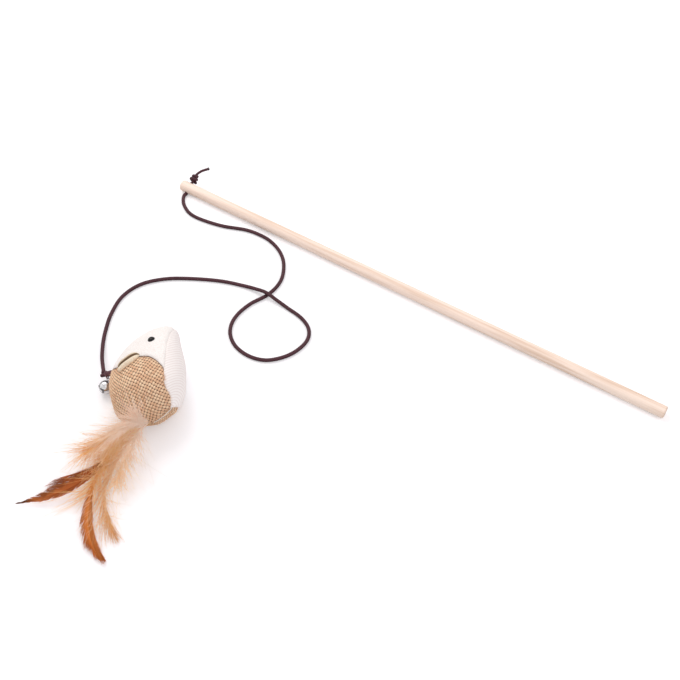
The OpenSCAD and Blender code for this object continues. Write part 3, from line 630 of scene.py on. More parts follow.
def weave_group():
    """A node group: a plain weave of one yarn a unit each way over a vector's X and Y."""
    tree = bpy.data.node_groups.new("plain_weave", "ShaderNodeTree")
    for name, way, kind in (("Yarns", "INPUT", "Vector"), ("Height", "OUTPUT", "Float"),
                            ("Over", "OUTPUT", "Float")):
        tree.interface.new_socket(name, in_out=way, socket_type=f"NodeSocket{kind}")
    start, end = tree.nodes.new("NodeGroupInput"), tree.nodes.new("NodeGroupOutput")
    x, y, _ = split(tree, start.outputs[0])
    cells = calc(tree, "ADD", calc(tree, "FLOOR", x), calc(tree, "FLOOR", y))
    over = calc(tree, "FLOORED_MODULO", cells, 2.0)
    sx, sy = (calc(tree, "ABSOLUTE", calc(tree, "SINE", times(tree, k, math.pi)))
              for k in (x, y))
    warp, weft = (times(tree, calc(tree, "POWER", a, 0.7),
                        calc(tree, "MULTIPLY_ADD", b, 0.5, 0.5)) for a, b in ((sx, sy), (sy, sx)))
    tree.links.new(mixed(tree, over, warp, weft), end.inputs[0])
    tree.links.new(over, end.inputs[1])
    return tree


def weave(tree, vector):
    """Height of a plain weave, and which yarn is over."""
    node = tree.nodes.new("ShaderNodeGroup")
    node.node_tree = bpy.data.node_groups.get("plain_weave") or weave_group()
    tree.links.new(vector, node.inputs[0])
    return node.outputs[0], node.outputs[1]


# ---------------------------------------------------------------- finishes

def wood_finish():
    """Pale wood with grain along X, and end rings on the butt at X 0."""
    f = settings().finish
    m, tree, shader, place, _ = new_material("pale_wood")
    wavy = streaks(tree, place, (9, 260, 260), 3.0, 0.55)
    fine = streaks(tree, place, (40, 2600, 2600), 2.0, 0.6)
    long = streaks(tree, place, (3.2, 60, 60), 1.0, 0.5)
    base = tinted(tree, band(tree, wavy, 0.44, 0.66), 0.55, f.wood, f.wood_grain)
    base = tinted(tree, band(tree, fine, 0.62, 0.74), 0.35, base, f.wood_grain)
    base = blend(tree, band(tree, long, 0.4, 0.65, 0.0, 0.4), base, toned(f.wood, 1.05, 0.02))
    x, y, z = split(tree, place)
    radius = calc(tree, "SQRT", calc(tree, "ADD", calc(tree, "POWER", y, 2.0),
                                     calc(tree, "POWER", z, 2.0)))
    warm = calc(tree, "MULTIPLY_ADD", band(tree, wavy, 0.38, 0.62), 0.6, 0.02)
    base = tinted(tree, band(tree, x, -0.3, 0.0), warm, base, f.wood_grain)
    rings = calc(tree, "SINE", calc(tree, "MULTIPLY_ADD", radius, 9000.0,
                                    times(tree, wavy, 6.0)))
    base = tinted(tree, calc(tree, "MULTIPLY_ADD", rings, 0.2, 0.3),
                  band(tree, x, -0.0009, -0.0002), base, toned(f.wood_grain, 0.72))
    height = calc(tree, "MULTIPLY_ADD", fine, -0.6, times(tree, wavy, 0.4))
    dress(tree, shader, base, height, 0.00012, 0.5,
          band(tree, fine, 0.3, 0.8, 0.5, 0.68), Specular_IOR_Level=0.35)
    return m


def cord_finish():
    """A braid over UV: the run in metres and the turn round the cord."""
    f = settings().finish
    m, tree, shader, _, uv = new_material("braided_elastic")
    run, turn, _ = split(tree, uv)
    run = times(tree, run, 1 / settings().wand.braid_pitch)
    turn = times(tree, turn, 8.0)
    yarns = put(tree, "ShaderNodeCombineXYZ",
                {0: calc(tree, "ADD", turn, run), 1: calc(tree, "SUBTRACT", turn, run)})
    height, _ = weave(tree, yarns)
    fibres = streaks(tree, uv, (9000, 26, 1), 2.0, 0.6)
    soil = streaks(tree, uv, (60, 1.5, 1))
    # Painted shade in the braid's gaps, where its height is low
    base = blend(tree, band(tree, height, 0.15, 0.75), f.cord_dark_and_gap_shade, f.cord)
    base = tinted(tree, band(tree, fibres, 0.45, 0.8), 0.5, base, toned(f.cord, 1.7, 0.01))
    base = tinted(tree, band(tree, soil, 0.4, 0.7), 0.25, base, f.cord_dark_and_gap_shade)
    dress(tree, shader, base, calc(tree, "MULTIPLY_ADD", fibres, 0.2, height), 0.00016, 0.9,
          0.62, Sheen_Weight=0.04, Sheen_Roughness=0.4, Specular_IOR_Level=0.3)
    return m


def woven_finish(name, yarn_colour, gap_shade, fleck, bump, sheen, relief, gap_low=0.02,
                 gap_high=0.42):
    """Cloth over UV in yarns: lit yarns, painted shade in the gaps between them, uneven tones, and
    painted shade where the 'shade' attribute says.
    """
    m, tree, shader, place, uv = new_material(name)
    height, over = weave(tree, uv)
    along_x = streaks(tree, uv, (0.35, 1.0, 1), 1.0)
    along_y = streaks(tree, uv, (1.0, 0.35, 1), 1.0, move=(7.3, 3.1, 0))
    twist_x = streaks(tree, uv, (3, 22, 1), 2.0, 0.7, turn=(0, 0, 0.5))
    twist_y = streaks(tree, uv, (22, 3, 1), 2.0, 0.7, turn=(0, 0, 0.5))
    fibre = mixed(tree, over, twist_y, twist_x)
    dark = tuple(c * fleck ** k for c, k in zip(yarn_colour, (0.7, 1.0, 1.3)))
    crossing = put(tree, "ShaderNodeVectorMath", {0: uv}, operation="FLOOR")
    crossing = put(tree, "ShaderNodeTexWhiteNoise", {"Vector": crossing})
    tone = calc(tree, "MULTIPLY_ADD", calc(tree, "SUBTRACT", crossing, 0.5), 0.55,
                mixed(tree, over, along_y, along_x))
    base = blend(tree, band(tree, tone, 0.3, 0.7), dark, toned(yarn_colour, 1.08, 0.02))
    base = tinted(tree, band(tree, fibre, 0.35, 0.7), 0.4, base, yarn_colour)
    # Painted shade in the gaps between yarns, where the weave is low
    base = blend(tree, band(tree, height, gap_low, gap_high), gap_shade, base)
    base = tinted(tree, band(tree, noise(tree, place, 90.0), 0.35, 0.7), 0.22, base, dark)
    # Painted shade, darker than the gaps, where the mesh's 'shade' attribute is high
    base = blend(tree, attribute(tree, "shade"), base, toned(gap_shade, 0.5))
    dress(tree, shader, base, calc(tree, "MULTIPLY_ADD", fibre, 0.35, times(tree, height, bump)),
          relief, 0.8, 0.92, Sheen_Weight=sheen, Sheen_Roughness=0.5, Specular_IOR_Level=0.2)
    return m


def ribbed_finish():
    """White cloth over UV: ribs along X, fine yarns along Y, with painted shade in the ribs'
    grooves and the yarns' gaps.
    """
    f = settings().finish
    m, tree, shader, _, uv = new_material("ribbed_cotton")
    rib = calc(tree, "ABSOLUTE", calc(tree, "SINE", times(tree, split(tree, uv)[0], math.pi)))
    fine, _ = weave(tree, scaled(tree, uv, (3.0, 1.0, 1)))
    fibre = streaks(tree, uv, (6, 14, 1), 2.0, 0.7)
    # Painted shade in the grooves between the ribs
    base = blend(tree, band(tree, rib, 0.05, 0.6), f.cotton_shade, f.cotton)
    # Painted shade in the gaps of the fine weave
    base = tinted(tree, band(tree, fine, 0.3, 0.0), 0.5, base, f.cotton_shade)
    dress(tree, shader, base, calc(tree, "MULTIPLY_ADD", fibre, 0.3, times(tree, fine, 0.5)),
          0.0001, 0.7, 0.93, Sheen_Weight=0.15, Sheen_Roughness=0.5, Specular_IOR_Level=0.2)
    return m


def plain_finish(name, grain, ramp, colours, distance, strength, roughness, **fixed):
    """One noise on Object (scale, detail, roughness) as tone and relief between two colours."""
    m, tree, shader, place, _ = new_material(name)
    tone = noise(tree, place, *grain)
    base = blend(tree, band(tree, tone, *ramp) if ramp else tone, *colours)
    if isinstance(roughness, tuple):
        roughness = band(tree, tone, *roughness)
    dress(tree, shader, base, tone, distance, strength, roughness, **fixed)
    return m


def melted_finish():
    f = settings().finish
    return plain_finish("melted_end", (1800.0, 3.0, 0.6), (0.4, 0.62), (f.cord_dark_and_gap_shade, f.melted),
                        0.0003, 0.8, 0.38)


def binding_finish():
    """Wound thread in the elastic's colour."""
    f = settings().finish
    return plain_finish("wound_thread", (5200.0, 3.0, 0.7), (0.35, 0.75),
                        (f.cord, toned(f.cord, 1.8, 0.01)), 0.00015, 0.9, 0.7, Sheen_Weight=0.2)


def bead_finish():
    return plain_finish("black_bead", (900.0, 3.0), (0.4, 0.7),
                        ((0.004, 0.004, 0.005), (0.012, 0.011, 0.012)), 0.00002, 0.2,
                        (0.3, 0.8, 0.12, 0.26), Specular_IOR_Level=0.3)


def steel_finish():
    return plain_finish("pellet_steel", (1500.0, 3.0), None,
                        (linear(120, 116, 114), linear(150, 148, 148)), 0.00003, 0.4, 0.42,
                        Metallic=1.0)


def fill_finish():
    return plain_finish("white_fill", (700.0, 4.0, 0.7), None,
                        (linear(214, 208, 198), linear(242, 238, 230)), 0.0006, 1.0, 0.95,
                        Sheen_Weight=0.3)


def thread_finish():
    """Twisted thread over UV: the run in metres and the turn round it."""
    m, tree, shader, _, uv = new_material("white_thread")
    run, turn, _ = split(tree, uv)
    ply = calc(tree, "ABSOLUTE", calc(tree, "SINE", calc(
        tree, "MULTIPLY_ADD", run, math.pi / 0.0007, times(tree, turn, 2 * math.pi))))
    # Painted shade in the grooves between the thread's plies
    base = blend(tree, band(tree, ply, 0.05, 0.5), linear(198, 184, 170),
                 linear(250, 246, 238))
    dress(tree, shader, base, ply, 0.00012, 0.9, 0.8, Sheen_Weight=0.1)
    return m


def metal_finish():
    m, tree, shader, place, _ = new_material("nickel_plate")
    smudge = noise(tree, place, 420.0, 3.0, 0.6)
    base = blend(tree, band(tree, smudge, 0.35, 0.7), settings().finish.metal,
                 linear(186, 183, 184))
    dress(tree, shader, base, noise(tree, place, 3800.0, 2.0, 0.6), 0.00001, 0.25,
          band(tree, smudge, 0.3, 0.75, 0.06, 0.2), Metallic=1.0)
    return m


def quill_finish():
    m, tree, shader, _, uv = new_material("quill_horn")
    streak = streaks(tree, uv, (260, 9, 1), 3.0, 0.6)
    base = blend(tree, band(tree, streak, 0.35, 0.7), linear(188, 140, 92),
                 settings().finish.quill)
    dress(tree, shader, base, streak, 0.00006, 0.5, 0.36, Coat_Weight=0.15)
    return m


def barb_finish(name, root_colour, tip_colour, dark_colour, dark_share, rough=0.6, sheen=0.03,
                dark_tip=0.0, glow=0.0):
    """Barbs: 'run' goes from a barb's root to its tip, 'ashore' along the shaft, and 'tone' is
    one number a barb. The glow stands in for the light that comes through thin barbs."""
    m, tree, shader, place, _ = new_material(name)
    run, tone, ashore = (attribute(tree, key) for key in ("run", "tone", "ashore"))
    mottle = noise(tree, place, 160.0, 3.0, 0.6)
    base = blend(tree, band(tree, ashore, 0.0, 1.0), root_colour, tip_colour)
    light = put(tree, "ShaderNodeHueSaturation", {"Value": 1.12, "Saturation": 1.0,
                                                   "Color": base})
    base = tinted(tree, tone, 0.5, base, light)
    spots = calc(tree, "ADD", times(tree, mottle, 0.75), times(tree, run, 0.25))
    soot = times(tree, calc(tree, "SUBTRACT", 1.0, tone), dark_share)
    base = tinted(tree, band(tree, spots, 0.44, 0.6), soot, base, dark_colour)
    base = tinted(tree, band(tree, ashore, 0.8, 0.93), dark_tip, base, toned(dark_colour, 0.3))
    dress(tree, shader, base, noise(tree, place, 5200.0), 0.00005, 0.4, rough,
          Sheen_Weight=sheen, Sheen_Roughness=0.4, Specular_IOR_Level=0.15,
          Emission_Strength=glow)
    tree.links.new(base, shader.inputs["Emission Color"])
    return m


def stage_finish(name, glow):
    """A pale floor: it glows only where the camera or a reflection sees it."""
    m, tree, shader, place, _ = new_material(name)
    base = blend(tree, noise(tree, place, 30.0), linear(236, 235, 238), linear(240, 239, 241))
    dress(tree, shader, base, roughness=1.0, Specular_IOR_Level=0.0)
    shader.inputs["Emission Color"].default_value = (1, 1, 1, 1)
    tree.links.new(times(tree, seen_directly(tree), glow), shader.inputs["Emission Strength"])
    return m


# ---------------------------------------------------------------- node trees for repeats

def geometry_tree(name, sockets):
    """A geometry-nodes tree with a mesh in and out, its inputs by name and its last socket."""
    tree = bpy.data.node_groups.new(name, "GeometryNodeTree")
    for key, way, kind in (("Geometry", "INPUT", "Geometry"), ("Geometry", "OUTPUT", "Geometry"),
                           *((key, "INPUT", kind) for key, kind in sockets)):
        tree.interface.new_socket(key, in_out=way, socket_type=f"NodeSocket{kind}")
    start, end = tree.nodes.new("NodeGroupInput"), tree.nodes.new("NodeGroupOutput")
    return tree, {s.name: s for s in start.outputs}, end.inputs[0]


def barb_tree():
    """One tapered barb on each point, along 'aim', bent by 'bend' and ruffled."""
    tree, ins, end = geometry_tree("barbs", (
        ("Width", "Float"), ("Tip share", "Float"), ("Steps", "Int"), ("Ruffle", "Float"),
        ("Ruffle size", "Float"), ("Seed", "Int"), ("Finish", "Material")))

    def vector(op, a, b=None, scale=None):
        given = {0: a, 1: b, "Scale": scale}
        return put(tree, "ShaderNodeVectorMath",
                   {k: v for k, v in given.items() if v is not None}, operation=op)

    def named(name, kind="FLOAT"):
        return put(tree, "GeometryNodeInputNamedAttribute", {"Name": name}, data_type=kind)

    line = put(tree, "GeometryNodeCurvePrimitiveLine", {"End": (1, 0, 0)})
    line = put(tree, "GeometryNodeResampleCurve", {0: line, "Count": ins["Steps"]})
    share = put(tree, "GeometryNodeSplineParameter")
    line = put(tree, "GeometryNodeStoreNamedAttribute",
               {"Geometry": line, "Name": "run", "Value": share}, data_type="FLOAT",
               domain="POINT")
    taper = calc(tree, "SUBTRACT", 1.0, times(tree, calc(tree, "POWER", share, 1.5),
                                              calc(tree, "SUBTRACT", 1.0, ins["Tip share"])))
    line = put(tree, "GeometryNodeSetCurveRadius", {0: line, "Radius": taper})
    profile = put(tree, "GeometryNodeCurvePrimitiveCircle", {"Resolution": 3, "Radius": 1.0},
                  mode="RADIUS")
    barb = put(tree, "GeometryNodeCurveToMesh",
               {"Curve": line, "Profile Curve": profile, "Scale": taper, "Fill Caps": False})
    aim, lift = named("aim", "FLOAT_VECTOR"), named("lift", "FLOAT_VECTOR")
    turn = put(tree, "FunctionNodeAxesToRotation",
               {0: aim, 1: lift}, primary_axis="X", secondary_axis="Z")
    thick = times(tree, times(tree, ins["Width"], 0.5), named("girth"))
    scale = put(tree, "ShaderNodeCombineXYZ",
                {0: vector("LENGTH", aim).node.outputs[1], 1: thick,
                 2: times(tree, thick, named("flat"))})
    copies = put(tree, "GeometryNodeInstanceOnPoints",
                 {"Points": ins["Geometry"], "Instance": barb, "Rotation": turn,
                  "Scale": scale})
    real = put(tree, "GeometryNodeRealizeInstances", {0: copies})
    run = named("run")
    bend = vector("SCALE", named("bend", "FLOAT_VECTOR"), scale=times(tree, run, run))
    wave = put(tree, "ShaderNodeTexNoise",
               {"Vector": put(tree, "GeometryNodeInputPosition"),
                "W": times(tree, ins["Seed"], 3.7),
                "Scale": calc(tree, "DIVIDE", 1.0, ins["Ruffle size"]),
                "Detail": 1.0}, 1, noise_dimensions="4D")
    wave = vector("SCALE", vector("SUBTRACT", wave, (0.5, 0.5, 0.5)),
                  scale=times(tree, times(tree, ins["Ruffle"], 2.0), run))
    moved = put(tree, "GeometryNodeSetPosition",
                {"Geometry": real, "Offset": vector("ADD", bend, wave)})
    tree.links.new(put(tree, "GeometryNodeSetMaterial",
                       {"Geometry": moved, "Material": ins["Finish"]}), end)
    return tree


def winding_tree():
    """A thread wound round the Z axis in close turns."""
    tree, ins, end = geometry_tree("winding", (
        ("Turns", "Float"), ("Radius", "Float"), ("Height", "Float"), ("Thread", "Float"),
        ("Finish", "Material")))
    coil = put(tree, "GeometryNodeCurveSpiral",
               {"Resolution": 28, "Rotations": ins["Turns"], "Start Radius": ins["Radius"],
                "End Radius": ins["Radius"], "Height": ins["Height"]})
    ring = put(tree, "GeometryNodeCurvePrimitiveCircle",
               {"Resolution": 10, "Radius": times(tree, ins["Thread"], 0.5)}, mode="RADIUS")
    solid = put(tree, "GeometryNodeCurveToMesh",
                {"Curve": coil, "Profile Curve": ring, "Fill Caps": True})
    done = put(tree, "GeometryNodeSetMaterial", {"Geometry": solid, "Material": ins["Finish"]})
    tree.links.new(put(tree, "GeometryNodeRealizeInstances", {0: done}), end)
    return tree


def baked(name, source, tree, inputs):
    """Runs a node tree on a mesh object and keeps the result as a plain mesh object."""
    modifier = source.modifiers.new("tree", "NODES")
    modifier.node_group = tree
    for item in tree.interface.items_tree:
        if item.in_out == "INPUT" and item.name in inputs:
            modifier[item.identifier] = inputs[item.name]
    depsgraph = bpy.context.evaluated_depsgraph_get()
    mesh = bpy.data.meshes.new_from_object(source.evaluated_get(depsgraph), depsgraph=depsgraph)
    mesh.name = name
    bpy.data.objects.remove(source)
    mesh.polygons.foreach_set("use_smooth", [True] * len(mesh.polygons))
    mesh.update()
    return shown(name, mesh)


def barbs(name, roots, aims, bends, lifts, tones, ashore, finish, width, seed, steps=6,
          ruffle=0.0004, ruffle_size=0.006, tip=0.25, flat=0.35, girth=1.0):
    """One piece of barbs, each from a root along its aim, bent towards its tip."""
    n = len(roots)
    points = mesh_object(name + "_points", roots, [], None, values={
        "aim": aims, "bend": bends, "lift": lifts, "tone": tones, "ashore": ashore,
        "girth": np.full(n, girth), "flat": np.full(n, flat)})
    return baked(name, points, bpy.data.node_groups.get("barbs") or barb_tree(), {
        "Width": width, "Tip share": tip, "Steps": steps, "Ruffle": ruffle,
        "Ruffle size": ruffle_size, "Seed": seed, "Finish": finish})


def above_floor(roots, reaches, bends, clear):
    """The bends, raised where a tip would go lower than clear above the surface."""
    lowest = clear - settings().wand.stick_d / 2
    raised = np.maximum(0, lowest - (roots + reaches + bends)[:, 2])
    return bends + raised[:, None] * (0, 0, 1)


def declare(obj, body, slot, *nodes, fill=None):
    """Hangs a piece on its body and hides the nodes it stands for; its material slot and its fill
    are not used.
    """
    if nodes:
        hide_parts(*nodes)
    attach(obj, body)


# ---------------------------------------------------------------- operators

class PieceOperator(bpy.types.Operator):
    """Builds one group of pieces."""
    bl_options = {"REGISTER"}

    def execute(self, context):
        self.build(settings())
        return {"FINISHED"}


class TEASER_OT_stage(PieceOperator):
    """Builds the camera, the soft studio light and the white floor"""
    bl_idname = "teaser.stage"
    bl_label = "Camera and Stage"

    def build(self, s):
        scene = bpy.context.scene
        scene.view_settings.view_transform = "Standard"
        rise, turn = math.radians(CAMERA_RISE), math.radians(CAMERA_TURN)
        right = Vector((math.cos(turn), math.sin(turn), 0))
        ahead = Vector((-math.sin(turn) * math.cos(rise), math.cos(turn) * math.cos(rise),
                        -math.sin(rise)))
        camera = bpy.data.objects.new("camera", bpy.data.cameras.new("camera"))
        scene.collection.objects.link(camera)
        camera.matrix_world = Matrix((right, right.cross(ahead), -ahead)).transposed().to_4x4()
        camera.location = Vector(CAMERA_TARGET) - ahead * CAMERA_DISTANCE
        camera.data.sensor_width, camera.data.lens = 36, 54
        camera.data.clip_start, camera.data.clip_end = 0.01, 20
        scene.camera = camera

        world = bpy.data.worlds.new("studio")
        scene.world = world
        world.use_nodes = True
        tree = world.node_tree
        tree.nodes.clear()
        seen = seen_directly(tree)
        out = put(tree, "ShaderNodeBackground",
                  {"Color": blend(tree, seen, AMBIENT_TINT, (1, 1, 1)),
                   "Strength": mixed(tree, seen, AMBIENT, 1.0)})
        tree.links.new(out, tree.nodes.new("ShaderNodeOutputWorld").inputs["Surface"])

        centre, away = Vector((-0.2, -0.07, 0)), Vector((-right.y, right.x, 0))
        for name, toward, height, size, power, tint in (
                ("key", away * 0.75 - right * 0.55, 1.0, 0.85, 6.5, (1.0, 0.985, 0.96)),
                ("fill", right * 0.9 - away * 0.5, 0.9, 1.2, 4.4, (0.97, 0.97, 1.0))):
            light = bpy.data.lights.new(name, "AREA")
            light.shape, light.size, light.energy, light.color = "SQUARE", size, power, tint
            lamp = shown(name, light)
            lamp.location = centre + toward * 0.9 + Vector((0, 0, height))
            lamp.rotation_euler = (centre - lamp.location).to_track_quat(
                "-Z", "Y").to_euler()

        floor_z = -s.wand.stick_d / 2
        mesh_object("floor", [(-6, -6, floor_z), (6, -6, floor_z), (6, 6, floor_z),
                                       (-6, 6, floor_z)], [(0, 1, 2, 3)],
                             stage_finish("white_floor", FLOOR_GLOW), flat=True)
        # A dark ring and cards that only reflections see, so that the bell shows its form
        sides = 48
        a = np.arange(sides) * 2 * np.pi / sides
        ring = [np.stack([BELL_CENTRE[0] + r * np.cos(a), BELL_CENTRE[1] + r * np.sin(a),
                          0 * a + floor_z + 0.2 * MM], 1) for r in (0.03, 0.5)]
        self.reflected("dark_ring", np.concatenate(ring), ring_faces(2, sides), 0.03)
        for k, (side, high, wide) in enumerate(((0.2, 0.16, 0.5), (2.5, 0.2, 0.6),
                                                (4.4, 0.12, 0.4))):
            outward = Vector((math.cos(side), math.sin(side), 0))
            across = Vector((-outward.y, outward.x, 0)) * wide
            at, tall = centre + outward * 1.1 + Vector((0, 0, high)), Vector((0, 0, 0.11))
            self.reflected(f"card_{k + 1}", [at - across - tall, at + across - tall,
                                             at + across + tall, at - across + tall],
                           [(0, 1, 2, 3)], 0.012)

    @staticmethod
    def reflected(name, verts, faces, shade):
        finish, tree, shader, place, _ = new_material(name)
        dress(tree, shader, blend(tree, noise(tree, place, 4.0), (shade,) * 3,
                                  (shade * 1.8,) * 3), roughness=0.9)
        card = mesh_object(name, verts, faces, finish, flat=True)
        card.visible_camera = card.visible_diffuse = card.visible_shadow = False


def hole_point(distance):
    """A point on the cord hole's axis, on the far side where the distance is below 0."""
    return HOLE + distance * HOLE_AXIS


class TEASER_OT_cord(PieceOperator):
    """Builds the elastic cord, its knot, its free end and its binding at the mouse"""
    bl_idname = "teaser.cord"
    bl_label = "Cord and Knots"

    def build(self, s):
        w, elastic, r = s.wand, cord_finish(), s.wand.cord_d / 2
        lying = -w.stick_d / 2 + r
        line = through(np.vstack([
            [hole_point(MOUTH), hole_point(MOUTH + w.cord_d / 4)],
            HOLE + CORD_ROUTE + (0, 0, lying),
            [NECK_END + (r + 0.45 * MM) * NECK_RISER]]), 0.7 * MM)
        line[1:-1, 2] = np.maximum(line[1:-1, 2], lying)
        girth = np.full(len(line), r)
        girth[-2:] *= (0.92, 0.5)
        cord = rod("elastic_cord", line, girth, 20, elastic)
        core = rod("cord_through_stick", through([hole_point(-MOUTH), hole_point(MOUTH)],
                                                 0.6 * MM), r, 20, elastic)

        # The stopper knot: turns round the stretched free end
        across, up = np.array([1.0, 0, 0]), np.cross(-HOLE_AXIS, (1.0, 0, 0))
        pitch = w.knot_strand_d + w.knot_gap
        a = np.linspace(0, 2 * np.pi * w.knot_turns, int(44 * w.knot_turns))[:, None]
        start = MOUTH + 0.3 * MM + w.knot_strand_d / 2
        wide = (w.tail_d + w.knot_strand_d) / 2 + 0.1 * MM + 0.35 * MM * np.cos(a / 4)
        turns = (HOLE - HOLE_AXIS * (start + pitch * a / (2 * np.pi))
                 + wide * (np.cos(a) * across + np.sin(a) * up))
        knot = rod("tip_stopper_knot", turns, w.knot_strand_d * 0.61, 16, elastic)
        knot_len = w.knot_turns * pitch + w.knot_strand_d
        tail = through(np.vstack([
            [hole_point(-MOUTH), hole_point(-MOUTH - knot_len / 2),
             hole_point(-MOUTH - knot_len)], HOLE + TAIL_ROUTE]), 0.35 * MM)
        free = rod("cord_free_end", tail, w.tail_d / 2, 16, elastic)
        tip = unit(tail[-1] - tail[-2])
        blob = [tail[-1] + tip * k * MM for k in (-0.5, -0.2, 0.15, 0.5, 0.75, 0.86)]
        seal = rod("melted_tip", blob, np.array([0.98, 1.15, 1.22, 1.05, 0.62, 0.1]) * MM, 14,
                   melted_finish())
        for obj, node in ((cord, "cord"), (core, "cord_in_stick"), (knot, "tip_knot"),
                          (free, "cord_tail"), (seal, "tail_seal")):
            declare(obj, "wand", "cord_end" if obj is seal else "cord", node)
        self.neck(w, elastic, r)

    def neck(self, w, elastic, r):
        """The cord's end in the mouse, bound with its own thread, down to its inner knot."""
        mouse = Mouse()
        low, high, knot_at = (mouse.laid((mouse.neck_x, 0, mouse.neck_z + rise)) for rise in (
            -7.8 * MM, w.neck_len, -11 * MM))
        out, stem = unit(high - low), through([low, high], 0.6 * MM)
        dome = [high + out * r * k for k in (0.5, 0.86, 0.98)]
        neck = rod("neck_elastic", np.vstack([stem, dome]),
                   r * np.r_[np.ones(len(stem)), 0.87, 0.5, 0.15], 20, elastic)
        t = np.linspace(math.pi, 0.35, 10)[:, None]
        inside = rod("inner_stopper_knot", knot_at + out * 3.2 * MM * np.cos(t),
                     np.maximum(0.1 * MM, 3.2 * MM * np.sin(t[:, 0])), 20, elastic)
        thread = (w.binding_d - w.cord_d) / 2 - 0.02 * MM
        height = w.neck_len - 1.1 * MM - (r + 0.6 * MM)
        ring = baked("neck_winding", mesh_object("binding_core", [(0, 0, 0)], [], None),
                     winding_tree(), {
            "Turns": height / (thread * 0.98), "Radius": (w.cord_d + thread) / 2,
            "Height": height - thread, "Thread": thread, "Finish": binding_finish()})
        verts = np.array([v.co for v in ring.data.vertices], float)
        verts += (mouse.neck_x, 0, mouse.neck_z + 1.1 * MM - verts[:, 2].min())
        ring.data.vertices.foreach_set("co", mouse.laid(verts).astype(np.float32).ravel())
        ring.data.update()
        for obj, node in ((neck, "neck_cord"), (inside, "inner_knot"), (ring, "neck_binding")):
            declare(obj, "lure", "cord", node)


class TEASER_OT_stick(PieceOperator):
    """Finishes the wooden stick"""
    bl_idname = "teaser.stick"
    bl_label = "Stick"

    def build(self, s):
        refinish("stick", wood_finish())


def refinish(node, finish):
    """Gives a CAD node that stays its own finish."""
    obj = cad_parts[node]
    if not obj.material_slots:
        obj.data.materials.append(finish)
    for place in obj.material_slots:
        place.material = finish


def panel_grid(mouse, head, side, step):
    """A side panel's grid: rows from the neck seam to the end, columns from belly to ridge."""
    cols = int(round((0.7 * mouse.h + 0.75 * mouse.w) / step))
    far = mouse.nose_x if head else mouse.rump_x
    rows = int(round((abs(far - mouse.neck_x) + mouse.drop * 0.45) / step * 1.12))
    s, q = np.meshgrid(np.linspace(0, 1, rows), np.linspace(0, 1, cols), indexing="ij")
    start = mouse.seam_x(q)
    x = start + (far - start) * np.sin(s * math.pi / 2)
    return mouse.skin(x, mouse.seam_angle(x) * (1 - q) + 180 * q, side), x


def shaped_cloth(mouse, grid, x, extra, seams, puff, seed):
    """The cloth's outer face: proud by puff between its seams, pulled in with puckers at them.
    A seam: distance from it, run along it, dip's depth and width, pucker's height and wave."""
    normals = grid_normals(grid, mouse.core(x))
    out = np.full(x.shape, puff)
    for distance, run, depth, wide, pucker, wave in seams:
        ripple = noise2(run / wave, distance / (3 * MM), seed) * np.exp(
            -(distance / (3.2 * MM)) ** 2)
        out = out - depth * np.exp(-(distance / wide) ** 2) + pucker * ripple
    return grid + normals * (out + extra)[..., None], normals


